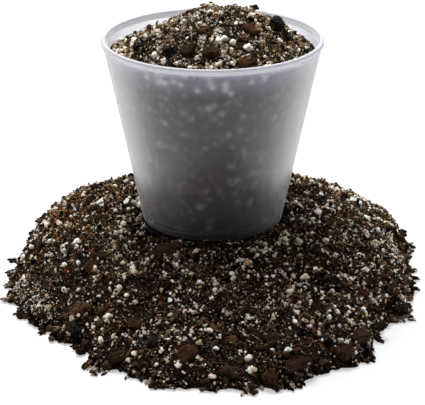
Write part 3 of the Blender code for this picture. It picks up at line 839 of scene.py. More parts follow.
# %% The fill
def chart_of_fill(corners):
    """The map of the fill: its dome from above, its side unrolled below that, its underside small."""
    flat = corners[..., :2] / (2.1 * FILL_EDGE_RADIUS) + 0.5
    turn = np.arctan2(corners[..., 1], corners[..., 0]) / (2 * np.pi) + 0.5
    turn = turn + (np.ptp(turn, axis=1, keepdims=True) > 0.5) * (turn < 0.5)
    height = (corners[..., 2] - CUP_FOOT_Z) / CUP_HEIGHT
    side = np.stack([turn * 0.98, height * 0.47], -1)
    low = corners[..., 2].max(1) < CUP_FOOT_Z + INSIDE_FLOOR + 0.002
    side = np.where(low[:, None, None], flat * 0.1 + (0.7, 0.7), side)
    top = corners[..., 2].min(1) > SIDE_TOP - 0.0022
    return np.where(top[:, None, None], flat * 0.5 + (0.0, 0.5), side)


FILL_AROUND = 420
DOME_RINGS = 60
SIDE_RINGS = 91
COLLAR_HEIGHT = 0.0040
DENT_DEPTH = 0.0012
bearing = np.linspace(0, 2 * np.pi, FILL_AROUND, endpoint=False)
collar = COLLAR_HEIGHT * np.clip(-1.6 * np.sin(bearing) - 0.1, 0, 1)
rings = []
for out in np.linspace(0.02, 1, DOME_RINGS):
    radius = FILL_EDGE_RADIUS * out
    x, y = radius * np.cos(bearing), radius * np.sin(bearing)
    rings.append(ring_at(radius, fill_top(x, y), bearing))
rings.append(ring_at(FILL_EDGE_RADIUS - 0.0004, SIDE_TOP + collar, bearing))
for down in np.linspace(0.0, 1, SIDE_RINGS):
    height = (SIDE_TOP - CUP_FOOT_Z + collar) * (1 - down) + (INSIDE_FLOOR + INNER_CORNER_RADIUS) * down
    on_wall = ring_at(wall_inner(height) - FILL_GAP, height, bearing)
    dents = 0.5 + 0.5 * cloud_bumps(on_wall, 0.0045, seed=51) + 0.35 * cloud_bumps(on_wall, 0.0022, seed=52)
    radius = wall_inner(height) - FILL_GAP - DENT_DEPTH * np.clip(dents, 0, 1.2)
    rings.append(ring_at(radius, height + CUP_FOOT_Z, bearing))
floor_z = INSIDE_FLOOR + 0.0008 + CUP_FOOT_Z
rings.append(ring_at(wall_inner(INSIDE_FLOOR) - INNER_CORNER_RADIUS, floor_z, bearing))
dome_top = (0, 0, float(fill_top(0.0, 0.0)))
fill = put_skin("fill_skin", np.array(rings), dome_top, (0, 0, floor_z), chart_of_fill)
points = points_of(fill)
turn = np.arctan2(points[:, 1], points[:, 0])
spots = spot_light(turn, points[:, 2] - CUP_FOOT_Z, np.random.default_rng(85))
layer = fill.data.attributes.new("wall_spots", "FLOAT", "POINT")
layer.data.foreach_set("value", spots.astype(np.float32))
finish_piece(fill, pressed_look.material, "compost", "cup_fill")

# %% [markdown]
# ## The frosted cup
#
# The cup is a plain turned shape, and its look is all in the plastic. Light gets through, but it is
# scattered at both faces, so the mix behind shows only as a dark blur with soft light spots: rough
# transmission makes that blur, in soft upright clouds. Towards its sides the wall turns milky, for
# which there is a sheen, and mirrors the bright studio more than at its middle, for which there is
# a coat whose weight follows the slant of the surface. The lip is hardly coated, and duller.

# %% The cup's plastic
WALL_ROUGHNESS = 0.25
WALL_COLOUR = (0.92, 0.905, 0.95)
DUST_COLOUR = (0.736, 0.724, 0.76)
LIP_COLOUR = (0.88, 0.88, 0.91)
LIP_COAT = 0.08
LIP_ROUGHER = 1.8

plastic_look = Look("frosted_plastic", WALL_ROUGHNESS)
plastic_look.set(("IOR", 1.5), ("Transmission Weight", 1.0), ("Coat Roughness", 0.25), ("Coat IOR", 1.8),
                 ("Sheen Weight", 0.58), ("Sheen Roughness", 0.5), ("Sheen Tint", (0.95, 0.95, 1.0, 1.0)))
lip = plastic_look.ramp(plastic_look.height(), CUP_RIM_Z - 0.0036, CUP_RIM_Z - 0.0022)
dust = plastic_look.group(blotches, Scale=900.0, Low=0.66, High=0.72)
colour = plastic_look.mix(lip, WALL_COLOUR, LIP_COLOUR)
plastic_look.paint(plastic_look.mix(dust, colour, DUST_COLOUR))

slant = plastic_look.put("LayerWeight", ("Blend", 0.5)).outputs["Facing"]
coat = plastic_look.times(plastic_look.ramp(slant, 0.16, 0.50),
                          plastic_look.ramp(slant, 0.55, 0.85, 1.0, 0.4))
coat = plastic_look.times(coat, plastic_look.ramp(lip, 0.0, 1.0, 1.0, LIP_COAT))
upright = plastic_look.stretched((1.0, 1.0, 0.25))
clouds = plastic_look.group(blotches, where=upright, Scale=160.0, Low=0.3, High=0.7)
rough = plastic_look.ramp(clouds, 0.0, 1.0, WALL_ROUGHNESS - 0.02, WALL_ROUGHNESS + 0.015)
rough = plastic_look.times(rough, plastic_look.ramp(lip, 0.0, 1.0, 1.0, LIP_ROUGHER))
plastic_look.set(("Coat Weight", coat), ("Roughness", rough))
plastic_look.bump(plastic_look.group(grit, Scale=2500.0, Pits=0.2), 0.08, 0.0002)
print("finish:", plastic_look.material.name)

# %% [markdown]
# In the lip's thick bead more light scatters, and light from all round is carried along it, so the lip is
# whiter than the wall. A milky ring inside the bead gives that, with painted light: a faint glow of its own,
# though it is no lamp. Its top is painted darker, a painted shade that keeps the lip duller on top than at
# its sides.

# %% The milky core's plastic
CORE_GLOW = 0.18

core_look = Look("milky_core", 0.6, 0.2)
# The ring's emission is painted light: it glows, though it is no lamp.
core_look.set(("Transmission Weight", 0.12), ("IOR", 1.4), ("Emission Color", (0.93, 0.93, 1.0, 1.0)),
              ("Emission Strength", CORE_GLOW))
shaded_top = core_look.ramp(core_look.height(), CUP_RIM_Z - 0.0016, CUP_RIM_Z - 0.0006)
clouds = core_look.group(blotches, Scale=120.0, Low=0.3, High=0.7)
milk = core_look.mix(clouds, (0.90, 0.90, 0.92), (0.97, 0.97, 0.98))
# The ring's top is painted darker: painted shade that dulls the lip's top.
core_look.paint(core_look.mix(shaded_top, milk, (0.42, 0.42, 0.44)))
core_look.bump(core_look.group(grit, Scale=1500.0, Pits=0.2), 0.2, 0.0002)
print("finish:", core_look.material.name)

# %% [markdown]
# ## The cup's shape
#
# The cup is one closed line, its section, carried round the axis: up the inner wall, over the lip,
# down the outer wall and under the foot ring. The roundings are arcs in that line, so no bevel is
# needed. A Screw modifier could turn it too, but a stack of rings also gives the map.

# %% Lines of the section
def arc(centre_r, centre_z, radius, start, end, count):
    """Points on an arc in the section: centre + radius * (cos, sin) of evenly spaced angles."""
    angle = np.radians(np.linspace(start, end, count))
    return np.stack([centre_r + radius * np.cos(angle), centre_z + radius * np.sin(angle)], -1)


def straight(start, end, count):
    """Evenly spaced points on a straight run of the section, without its two ends."""
    step = np.linspace(0, 1, count + 2)[1:-1, None]
    return np.array(start) * (1 - step) + np.array(end) * step


def turned(section, around):
    """Carry a section, rows of (radius, height above the foot), round the cup's axis."""
    bearing = np.linspace(0, 2 * np.pi, around, endpoint=False)
    return np.array([ring_at(radius, height + CUP_FOOT_Z, bearing) for radius, height in section])


print("a quarter circle in three points:", np.round(arc(0.0, 0.0, 1.0, 0, 90, 3), 2).tolist())

# %% [markdown]
# The section's lines follow one another in the order in which their points are joined. It starts on
# the inside floor, and ends in the recess under the foot ring. Two points on the axis close both.

# %% The cup
CUP_AROUND = 256
LIP_RUN_BACK = 0.0011
SLIGHT = 0.0001
rim_inner = RIM_RADIUS - RIM_WIDTH
rim_under = CUP_HEIGHT - RIM_HEIGHT
lip_under = rim_under - LIP_RUN_BACK
rounding_z = CUP_HEIGHT - RIM_ROUNDING
corner_z = INSIDE_FLOOR + INNER_CORNER_RADIUS
corner_r = wall_inner(corner_z) - INNER_CORNER_RADIUS
ring_inner = FOOT_RADIUS - FOOT_RING_WIDTH
section = np.vstack([
    [(corner_r * 0.5, INSIDE_FLOOR)],
    arc(corner_r, corner_z, INNER_CORNER_RADIUS, -90, 0, 8),
    straight((wall_inner(corner_z), corner_z), (wall_inner(rim_under), rim_under), 24),
    arc(rim_inner + RIM_ROUNDING, rounding_z, RIM_ROUNDING, 180, 90, 6),
    arc(RIM_RADIUS - RIM_ROUNDING, rounding_z, RIM_ROUNDING, 90, 0, 6),
    [(RIM_RADIUS - SLIGHT, rim_under + 0.0004), (wall_outer(lip_under) + SLIGHT, lip_under + 0.0002)],
    straight((wall_outer(lip_under), lip_under), (wall_outer(FOOT_ROUNDING), FOOT_ROUNDING), 24),
    arc(wall_outer(FOOT_ROUNDING) - FOOT_ROUNDING, FOOT_ROUNDING, FOOT_ROUNDING, 0, -90, 8),
    [(ring_inner, 0.0), (ring_inner - FOOT_RECESS / 2, FOOT_RECESS), (ring_inner * 0.5, FOOT_RECESS)],
])
cup = put_skin("frosted_cup", turned(section, CUP_AROUND), (0, 0, INSIDE_FLOOR + CUP_FOOT_Z),
               (0, 0, FOOT_RECESS + CUP_FOOT_Z))
finish_piece(cup, plastic_look.material, "frosted_plastic", "cup")

# %% [markdown]
# The milky ring is turned in the same way. Its section follows the lip's, 0.3 mm inside the two
# faces, and stands out of the rounded top by 0.1 mm, where it is the lip's own surface. It needs no
# end points: its last ring joins its first.

# %% The milky ring in the lip
CORE_DEPTH = 0.0003
CORE_ABOVE = 0.0001
core_under = rim_under - 0.0007
middle_r = wall_outer(core_under) - WALL_THICKNESS / 2
core_r = RIM_ROUNDING - CORE_DEPTH
core_z = CUP_HEIGHT + CORE_ABOVE - core_r
section = np.vstack([
    [(middle_r - SLIGHT, core_under), (rim_inner + CORE_DEPTH, rim_under)],
    arc(rim_inner + RIM_ROUNDING, core_z, core_r, 180, 90, 4),
    arc(RIM_RADIUS - RIM_ROUNDING, core_z, core_r, 90, 0, 4),
    [(RIM_RADIUS - CORE_DEPTH - SLIGHT, rim_under + 0.0004), (middle_r + SLIGHT, core_under)],
])
core = put_skin("milky_core", turned(section, CUP_AROUND))
finish_piece(core, core_look.material, "frosted_plastic", "cup")

# %% [markdown]
# ## Chips, lumps and twigs
#
# The larger loose pieces have solids of their own. Each gets a finer body in the same place: we
# read the solid's points, find its three main directions and its half-sizes along them, and grow
# a new skin there. A bark chip is a slab of thin layers with torn ends, a peat lump is a ball of
# crumbs, and popped perlite is a ball of round knobs.

# %% Where a solid lies
def main_directions(name):
    """A solid's middle, its long, wide and thin directions as rows, and its half-size along each."""
    points = np.unique(np.round(points_of(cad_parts[name]), 6), axis=0)
    middle = (points.min(0) + points.max(0)) / 2
    spread, axes = np.linalg.eigh(np.cov((points - middle).T))
    axes = axes.T[::-1]
    if np.linalg.det(axes) < 0:
        axes[2] = -axes[2]
    along = (points - middle) @ axes.T
    low, high = along.min(0), along.max(0)
    return middle + ((low + high) / 2) @ axes, axes, (high - low) / 2


def keep_along(piece, middle, axes):
    """A UV map in millimetres: u along the piece, v across it plus through it, for its grain."""
    local = (points_of(piece) - middle) @ axes.T * 1000
    flat = np.stack([local[:, 0], local[:, 1] + 2.3 * local[:, 2]], -1)
    corner = np.empty(len(piece.data.loops), dtype=np.int32)
    piece.data.loops.foreach_get("vertex_index", corner)
    layer = piece.data.uv_layers.new(name="along_mm")
    layer.data.foreach_set("uv", flat[corner].astype(np.float32).ravel())


def stand_in(name, solid, form, ends, grained=False):
    """Lay a form where a solid lies: unit coordinates times its half-sizes, along its directions.

    Returns the piece, and the solid's x, y and half-width for the grains that keep clear of it.
    """
    middle, axes, half = main_directions(solid)
    first, last = (np.array(ends) * half) @ axes + middle
    piece = put_skin(name, (form * half) @ axes + middle, first, last)
    if grained:
        keep_along(piece, middle, axes)
    return piece, (middle[0], middle[1], (half[0] + half[1]) / 2)


def ball_grid(rows, around):
    """Directions on a ball: rows of latitude between the poles, the long axis through the poles."""
    tilt = np.linspace(0, np.pi, rows + 2)[1:-1, None]
    turn = np.linspace(0, 2 * np.pi, around, endpoint=False)[None, :]
    return np.stack([np.cos(tilt) + 0 * turn, np.sin(tilt) * np.cos(turn), np.sin(tilt) * np.sin(turn)], -1)


print("half-sizes of the first chip:", np.round(main_directions("bark_chip_01")[2] * 1000, 1), "mm")

# %% [markdown]
# Bark breaks along its fibres, so its colour runs in lines along the chip: dark brown, red brown
# and a few orange ones where the break is fresh. The lines need the chip's own directions, which
# the UV map carries.

# %% Bark finish
def bark_look(name, dark, mid, bright):
    """Layered bark: lines along the chip in three browns, with near-black spots of painted shade for its
    hollows.
    """
    look = Look(name, 0.9, 0.06)
    lines = look.stretched((0.22, 2.2, 1.0), look.put("UVMap", uv_map="along_mm").outputs["UV"])
    streak = look.group(blotches, where=lines, Scale=1.0, Low=0.36, High=0.62)
    fresh = look.group(blotches, where=lines, Scale=0.55, Low=0.52, High=0.70)
    pit_shade = look.group(blotches, Scale=700.0, Low=0.50, High=0.62)
    colour = look.mix(streak, dark, mid)
    colour = look.mix(fresh, colour, bright)
    # The near-black spots are painted shade, as in hollows.
    look.paint(look.mix(pit_shade, colour, (0.008, 0.005, 0.004)))
    look.bump(look.group(grit, where=lines, Scale=1.4, Pits=0.3), 0.8, 0.0005)
    return look.material


red_bark = bark_look("red_bark", (0.016, 0.007, 0.004), (0.066, 0.025, 0.011), (0.135, 0.056, 0.023))
brown_bark = bark_look("brown_bark", (0.014, 0.008, 0.005), (0.052, 0.025, 0.012), (0.120, 0.060, 0.028))
orange_bark = bark_look("orange_bark", (0.024, 0.011, 0.006), (0.105, 0.046, 0.018), (0.235, 0.125, 0.052))
print("bark finishes:", red_bark.name, brown_bark.name, orange_bark.name)

# %% [markdown]
# A chip's form is a ball pushed towards a box, with noise stretched along the chip for everything
# that happened to it: steps where layers broke off, torn ends, ridges, knobs and uneven corners.

# %% Bark chips
RED_CHIPS = (2, 5, 9, 11, 15, 17)
ORANGE_CHIPS = (4, 13, 18, 21)
CHIP_GRID = (30, 40)
CHIP_SQUARENESS = (0.55, 0.55, 0.45)
CHIP_ENDS = ((0.95, 0, 0), (-0.95, 0, 0))
CHIP_NOISES = ((0.6, 2.4, 0.0), (0.3, 4.0, 3.0), (0.8, 6.0, 1.0), (3.0, 4.0, 2.0), (1.1, 1.1, 0.0))


def bark_form(rows, around, seed):
    """A slab: each coordinate c of a ball becomes sign(c) * |c|^squareness, times 1 + its noises.

    Its thickness also loses 0.3 for each layer that broke off, and its length and width are
    brought back to the solid's, 1.1 and 1.08 times less.
    """
    ball = ball_grid(rows, around)
    form = np.sign(ball) * np.abs(ball) ** np.array(CHIP_SQUARENESS)
    shifted = form + np.array((seed * 3.1, 0.0, 0.0))
    layers, torn, ridges, knobs, corners = (
        cloud_bumps(shifted * np.array(stretch), 1.0, seed + number)
        for number, stretch in enumerate(CHIP_NOISES))
    form = form * (1 + 0.07 * ridges + 0.09 * knobs)[..., None]
    form[..., 2] = form[..., 2] * (1 - 0.30 * np.round(1.5 * np.clip(layers, 0, 1)))
    form[..., 0] = form[..., 0] * (1 + 0.16 * torn) / 1.1
    form[..., :2] = form[..., :2] * (1 + 0.22 * corners[..., None]) / 1.08
    return form


dusted, solid_places = [], []
for number in range(1, 22):
    solid = f"bark_chip_{number:02d}"
    form = bark_form(*CHIP_GRID, 100 + number)
    chip, place = stand_in(f"split_bark_{number:02d}", solid, form, CHIP_ENDS, grained=True)
    finish = red_bark if number in RED_CHIPS else orange_bark if number in ORANGE_CHIPS else brown_bark
    finish_piece(chip, finish, "bark", solid)
    dusted.append(chip)
    solid_places.append(place)

# %% [markdown]
# Peat lumps are almost black and matt. Their skin is crumbs all over, which two sizes of bumps
# give, and they are dusted with brown and flecked with tan.

# %% Peat lumps
LUMP_ENDS = ((1, 0, 0), (-1, 0, 0))
peat_look = Look("black_peat", 0.9, 0.1)
dusting = peat_look.group(blotches, Scale=420.0, Low=0.44, High=0.62)
flecks = peat_look.group(blotches, Scale=1300.0, Low=0.54, High=0.66)
peat = peat_look.mix(dusting, (0.0035, 0.0030, 0.0028), (0.024, 0.016, 0.011))
peat_look.paint(peat_look.mix(flecks, peat, (0.085, 0.062, 0.044)))
peat_look.bump(peat_look.group(grit, Scale=1400.0, Pits=0.7), 0.9, 0.0006)


def lump_form(rows, around, seed, coarse_height, fine_height):
    """A ball whose radius is 1 + a * coarse bumps + b * fine bumps."""
    ball = ball_grid(rows, around)
    away = ball + seed * 2.7
    radius = 1 + coarse_height * cloud_bumps(away, 0.55, seed) + fine_height * cloud_bumps(away, 0.24, seed)
    return ball * radius[..., None] / (1 + 0.5 * coarse_height)


for number in range(1, 14):
    solid = f"peat_lump_{number:02d}"
    form = lump_form(30, 44, 200 + number, 0.28, 0.24)
    lump, place = stand_in(f"crumbly_peat_{number:02d}", solid, form, LUMP_ENDS)
    finish_piece(lump, peat_look.material, "peat", solid)
    dusted.append(lump)
    solid_places.append(place)

# %% [markdown]
# Perlite is popped volcanic glass: off-white, matt, full of tiny holes, and stained by the damp peat that it
# lies in. Its holes are painted darker, as painted shade. All perlite shares one finish, which reads a tint
# that each grain carries.

# %% Perlite finish
perlite_look = Look("perlite", 0.8, 0.2)
tint = perlite_look.attribute("tint")
stain = perlite_look.group(blotches, Scale=520.0, Low=0.50, High=0.80)
hole_shade = perlite_look.group(blotches, Scale=1900.0, Low=0.62, High=0.74)
white_grain = perlite_look.mix(stain, tint, (0.50, 0.41, 0.31))
# Small darker spots are painted shade in the grain's holes.
white_grain = perlite_look.mix(hole_shade, white_grain, (0.26, 0.20, 0.15))
perlite_look.paint(white_grain)
perlite_look.bump(perlite_look.group(grit, Scale=1600.0, Pits=0.5), 0.5, 0.0004)


def keep_tint(piece, tints):
    """Store a colour for each point in the attribute that the finish reads."""
    layer = piece.data.color_attributes.new("tint", "FLOAT_COLOR", "POINT")
    colours = np.ones((len(piece.data.vertices), 4), dtype=np.float32)
    colours[:, :3] = tints
    layer.data.foreach_set("color", colours.ravel())


LARGE_GRAIN_TINT = (0.86, 0.81, 0.72)
for number in range(1, 13):
    solid = f"perlite_lump_{number:02d}"
    form = lump_form(22, 32, 300 + number, 0.34, 0.14)
    grain, place = stand_in(f"popped_perlite_{number:02d}", solid, form, LUMP_ENDS)
    keep_tint(grain, LARGE_GRAIN_TINT)
    finish_piece(grain, perlite_look.material, "perlite", solid)
    solid_places.append(place)
solid_places = np.array(solid_places)

# %% [markdown]
# A twig is a profile carried along a path: rings that follow a line with a slight bend, thinner
# towards the tip, and knobbly.

# %% Twigs
TWIG_BEND = 0.25
TWIG_END_Y = -0.12
TWIG_ENDS = ((-1.0, TWIG_END_Y, 0), (1.0, TWIG_END_Y, 0))
for number in (1, 2):
    solid = f"twig_{number:02d}"
    step = np.linspace(-1, 1, 40)[:, None]
    turn = np.linspace(0, 2 * np.pi, 14, endpoint=False)[None, :]
    thick = (0.80 - 0.30 * step) * (1 + 0.12 * lattice_bumps(step * 5, turn + number, 1.0, seed=61))
    bend = TWIG_BEND * (1 - step ** 2) + TWIG_END_Y
    form = np.stack([step + 0 * turn, bend + thick * np.cos(turn), thick * np.sin(turn)], -1)
    twig, _ = stand_in(f"thin_twig_{number:02d}", solid, form, TWIG_ENDS, grained=True)
    finish_piece(twig, brown_bark, "twig", solid)

# %% [markdown]
# ## The grains
#
# Thousands of grains make the mix. They are too many for an object each, so every kind is one
# mesh: a small ball of 8 or 32 faces, copied to all its places at once with array arithmetic, each
# copy with its own size, turn, dents and tint. Every copy also gets its own square of the map, so
# that a texture made from the material later has room for each grain.

# %% A small ball and its square of the map
def ball_form(cuts):
    """An octahedron whose faces are each cut in four, with the new corners pushed to the ball."""
    points = np.array([(1, 0, 0), (-1, 0, 0), (0, 1, 0), (0, -1, 0), (0, 0, 1), (0, 0, -1)], float)
    faces = np.array([(0, 2, 4), (2, 1, 4), (1, 3, 4), (3, 0, 4),
                      (2, 0, 5), (1, 2, 5), (3, 1, 5), (0, 3, 5)])
    for _ in range(cuts):
        a, b, c = points[faces[:, 0]], points[faces[:, 1]], points[faces[:, 2]]
        ab, bc, ca = a + b, b + c, c + a
        corners = np.stack([a, ab, ca, ab, b, bc, ca, bc, c, ab, bc, ca], 1).reshape(-1, 3)
        corners = corners / np.linalg.norm(corners, axis=1, keepdims=True)
        points, index = np.unique(np.round(corners, 6), axis=0, return_inverse=True)
        faces = index.reshape(-1, 3)
    return points, faces


def ball_chart(points, faces):
    """Unfold the ball into a square, the upper half as a diamond and the lower half as its corners."""
    corner = points[faces]
    corner = corner / np.abs(corner).sum(-1, keepdims=True)
    side = np.sign(corner.mean(1, keepdims=True))
    upper = corner[..., :2]
    lower = (1 - np.abs(corner[..., 1::-1])) * side[..., :2]
    return np.where(side[..., 2:] > 0, upper, lower) / 2 + 0.5


SMALL_BALL = ball_form(0)
ROUND_BALL = ball_form(1)
print("faces of the two balls:", len(SMALL_BALL[1]), len(ROUND_BALL[1]))

# %% [markdown]
# Blender can scatter instances too, but instances share one mesh. Real grains all differ, so each
# copy here gets its own turn, which is a small matrix, and its own dents, which are random lengths
# for the ball's points.

# %% Many copies in one mesh
TILE_SHARE = 0.86
TILE_MARGIN = 0.07


def turns(rng, count, tilt):
    """Random turns: about Z, then a tilt of up to the given angle, then about Z again."""
    first, last = rng.uniform(0, 2 * np.pi, (2, count))
    lean = tilt * np.sqrt(rng.uniform(0, 1, count))

    def about(angle, i, j):
        turn = np.tile(np.eye(3), (count, 1, 1))
        turn[:, i, i] = turn[:, j, j] = np.cos(angle)
        turn[:, i, j], turn[:, j, i] = -np.sin(angle), np.sin(angle)
        return turn

    return about(last, 0, 1) @ about(lean, 1, 2) @ about(first, 0, 1)


def put_copies(name, shapes, faces, chart, tints, smooth):
    """One mesh from an array of copies by points by 3: each copy gets its square and its tint."""
    count, size, _ = shapes.shape
    shapes[..., 2] = np.maximum(shapes[..., 2], 0.0)
    all_faces = (faces[None] + size * np.arange(count)[:, None, None]).reshape(-1, 3)
    across = math.ceil(math.sqrt(count))
    number = np.arange(count)
    square = np.stack([number % across, number // across], -1)[:, None, None, :]
    all_chart = (chart[None] * TILE_SHARE + TILE_MARGIN + square) / across
    piece = put_mesh(name, shapes.reshape(-1, 3), all_faces, all_chart, smooth)
    keep_tint(piece, np.repeat(tints, size, axis=0))
    return piece


def put_grains(name, ball, places, sizes, tints, rng, dents, turn=None):
    """Copies of a ball: place + turn @ (size / 2 * ball point * (1 + dents))."""
    points, faces = ball
    count = len(places)
    turn = turns(rng, count, math.pi) if turn is None else turn
    shapes = points[None] * (1 + dents * rng.uniform(-1, 1, (count, len(points), 1)))
    shapes = np.einsum("nij,nkj->nki", turn, shapes * sizes[:, None, :] / 2) + places[:, None, :]
    return put_copies(name, shapes, faces, ball_chart(points, faces), tints, smooth=False)


print("one random turn:", np.round(turns(np.random.default_rng(1), 1, math.pi)[0], 2).tolist())

# %% [markdown]
# Spots for grains are drawn at random over the floor plan, and those outside the heap or the dome,
# under the cup, or on a chip or a lump are left out.

# %% Where grains lie
HEAP_SIDE = 0.14
HEAP_FRONT = 0.16
EDGE_MARGIN = 0.0006
FOOT_MARGIN = 0.0012
LIP_MARGIN = 0.0026
LIP_SHIFT = 0.0014
COVERED_SHARE = 0.75


def spots_on_heap(count, rng, keep=None):
    """Even random places on the heap, outside the cup. keep(x, y) thins them out to its share."""
    x = rng.uniform(-HEAP_SIDE, HEAP_SIDE, count * 4)
    y = rng.uniform(-HEAP_FRONT, HEAP_SIDE, count * 4)
    off_foot = np.hypot(x, y) > FOOT_RADIUS + FOOT_MARGIN
    good = (from_edge(x, y) > EDGE_MARGIN) & off_foot & clear_of_solids(x, y)
    if keep is not None:
        good &= rng.uniform(0, 1, len(x)) < keep(x, y)
    return x[good][:count], y[good][:count]


def spots_on_fill(count, rng, keep=None):
    """Even random places on the dome in the cup. keep(x, y) thins them out to its share."""
    reach = (FILL_EDGE_RADIUS - 0.0008) * np.sqrt(rng.uniform(0, 1, count * 3))
    angle = rng.uniform(0, 2 * np.pi, count * 3)
    x, y = reach * np.cos(angle), reach * np.sin(angle)
    share = 1.0 if keep is None else keep(x, y)
    good = (rng.uniform(0, 1, len(x)) < share) & clear_of_solids(x, y) & inside_lip(x, y)
    return x[good][:count], y[good][:count]


def clear_of_solids(x, y):
    """True where no chip, lump or large perlite grain of its own lies."""
    apart = (x[:, None] - solid_places[:, 0]) ** 2 + (y[:, None] - solid_places[:, 1]) ** 2
    return (apart > (COVERED_SHARE * solid_places[:, 2]) ** 2).all(1)


def inside_lip(x, y):
    """True where grains may lie on the dome: 2.6 mm in from its edge, moved 1.4 mm to the front."""
    return np.hypot(x, y + LIP_SHIFT) < FILL_EDGE_RADIUS - LIP_MARGIN


print("kept clear for chips, lumps and large grains:", len(solid_places), "places")

# %% [markdown]
# Grains lie where the crumbly tops are, a little sunk in. Close to the cup they are moved off so
# that none cuts through its wall. The same few helpers serve the heap and the fill.

# %% Laying grains down
OUTSIDE_CLEARANCE = 0.0003
INSIDE_CLEARANCE = 0.0002


def on_heap(x, y, sizes, lift):
    """Lay grains on the heap, raised by a share of their size, and clear of the cup's wall."""
    z = heap_top(x, y) + lift * sizes.min(-1)
    clear = wall_outer(np.maximum(z - CUP_FOOT_Z, 0)) + OUTSIDE_CLEARANCE + sizes.max(-1) / 2
    push = np.maximum(clear / np.hypot(x, y), 1.0)
    return np.stack([x * push, y * push, np.maximum(z, 0.3 * sizes.min(-1))], -1)


def on_fill(x, y, sizes, lift):
    """Lay grains on the dome, raised by a share of their size, and inside the cup's wall."""
    z = fill_top(x, y) + lift * sizes.min(-1)
    room = wall_inner(np.clip(z - CUP_FOOT_Z, 0, CUP_HEIGHT)) - INSIDE_CLEARANCE - sizes.max(-1) / 2
    in_cup = z < CUP_RIM_Z + 0.001
    pull = np.where(in_cup, np.minimum(room / np.maximum(np.hypot(x, y), 1e-6), 1.0), 1.0)
    return np.stack([x * pull, y * pull, z], -1)


def grain_sizes(rng, count, middle, spread, low, high, squash=0.25, form=(1.0, 1.0, 1.0)):
    """Sizes in three directions: middle * e^(spread * normal), held between low and high."""
    length = np.clip(middle * np.exp(spread * rng.normal(0, 1, count)), low, high)
    return length[:, None] * (1 - squash * rng.uniform(0, 1, (count, 3))) * np.array(form)


def pick_tints(rng, count, palette, uneven):
    """A tint for each grain, from rows of (share, red, green, blue), a little lighter or darker."""
    palette = np.array(palette)
    row = rng.choice(len(palette), count, p=palette[:, 0] / palette[:, 0].sum())
    return palette[row, 1:] * np.exp(uneven * rng.normal(0, 1, (count, 1)))


print("a grain laid on the heap, in mm:",
      np.round(1000 * on_heap(np.array([0.08]), np.array([0.0]), np.full((1, 3), 0.002), 0.3)[0], 1))

# %% [markdown]
# Perlite lies in loose clusters with darker patches between, so a slow noise over the floor plan
# thins it out in places. Popped grains also stick together: about half get a smaller twin that
# overlaps them, which makes the knobbly shapes of the real ones.

# %% Where perlite is thick
SIDE_X = (-0.09, -0.04, 0.05, 0.09)
SIDE_SHARE = (0.55, 0.95, 1.0, 0.85)
FRONT_MORE = 3.0
CREST_Y = (-0.025, 0.005, 0.030)
CREST_SHARE = (1.0, 0.7, 0.4)
FOOT_STRIP = 0.0075
FOOT_STRIP_SHARE = 0.10
BLACK_PLACE = (0.0365, -0.0135)
BLACK_SPREAD = 0.0068


def off_black(x, y):
    """0 on the black place of the dome, and 1 elsewhere."""
    return (np.hypot(x - BLACK_PLACE[0], y - BLACK_PLACE[1]) > BLACK_SPREAD) * 1.0


def clusters(x, y):
    """The share of grains kept at a place: 0.45 give or take 0.65, over patches of 16 mm and 7 mm.

    Fewer are kept far out at the sides, and more towards the front.
    """
    patches = 0.45 + 0.28 * lattice_bumps(x, y, 0.016, seed=71) + 0.37 * lattice_bumps(x, y, 0.007, seed=72)
    by_place = np.interp(x, SIDE_X, SIDE_SHARE) + FRONT_MORE * np.clip(-y - 0.05, 0, 0.05)
    return np.maximum(patches, 0.05) * by_place * off_black(x, y)


def off_crest(x, y):
    """As clusters, but fewer on the dome's crest and behind it."""
    return clusters(x, y) * np.interp(y, CREST_Y, CREST_SHARE)


def clear_of_foot(x, y):
    """As clusters, but hardly any in the dark strip along the front of the cup's foot."""
    strip = (np.hypot(x, y) < FOOT_RADIUS + FOOT_STRIP) & (y < -0.022)
    return clusters(x, y) * np.where(strip, FOOT_STRIP_SHARE, 1.0)


print("share of perlite kept 70 mm left and right of the cup:",
      np.round(clusters(np.array((-0.07, 0.07)), np.zeros(2)), 2))

# %% [markdown]
# A size class is written as middle, spread, smallest, largest and squash. The first four give a
# grain's length, and squash is how much shorter it may be in each direction.

# %% Perlite grains
PERLITE_TINTS = ((6, 0.84, 0.74, 0.61), (3, 0.62, 0.51, 0.38), (4, 0.95, 0.90, 0.82), (2, 0.50, 0.37, 0.22))
COARSE = (0.0019, 0.38, 0.0009, 0.0044, 0.5)
FILL_COARSE = (0.0018, 0.42, 0.0009, 0.0044, 0.5)
TWIN_SIZE = 0.75
TWIN_AWAY = 0.6


def with_twins(rng, x, y, sizes, share):
    """Add a smaller twin to a share of the grains, 0.6 of a size away at a random angle."""
    twin = rng.uniform(0, 1, len(x)) < share
    angle = rng.uniform(0, 2 * np.pi, twin.sum())
    away = TWIN_AWAY * sizes[twin].mean(-1)
    return (np.append(x, x[twin] + away * np.cos(angle)), np.append(y, y[twin] + away * np.sin(angle)),
            np.vstack([sizes, TWIN_SIZE * sizes[twin]]))


def put_perlite(name, rng, spots, lay, ball, size, twins, rise, dents):
    """Perlite of one size class on the heap or the fill, as one piece."""
    x, y = spots
    x, y, sizes = with_twins(rng, x, y, grain_sizes(rng, len(x), *size), twins)
    tints = np.minimum(pick_tints(rng, len(x), PERLITE_TINTS, 0.14), 0.95)
    places = lay(x, y, sizes, 0.3)
    places[:, 2] += rise * rng.uniform(0, 1, len(x))
    grains = put_grains(name, ball, places, sizes, tints, rng, dents)
    finish_piece(grains, perlite_look.material, "perlite")


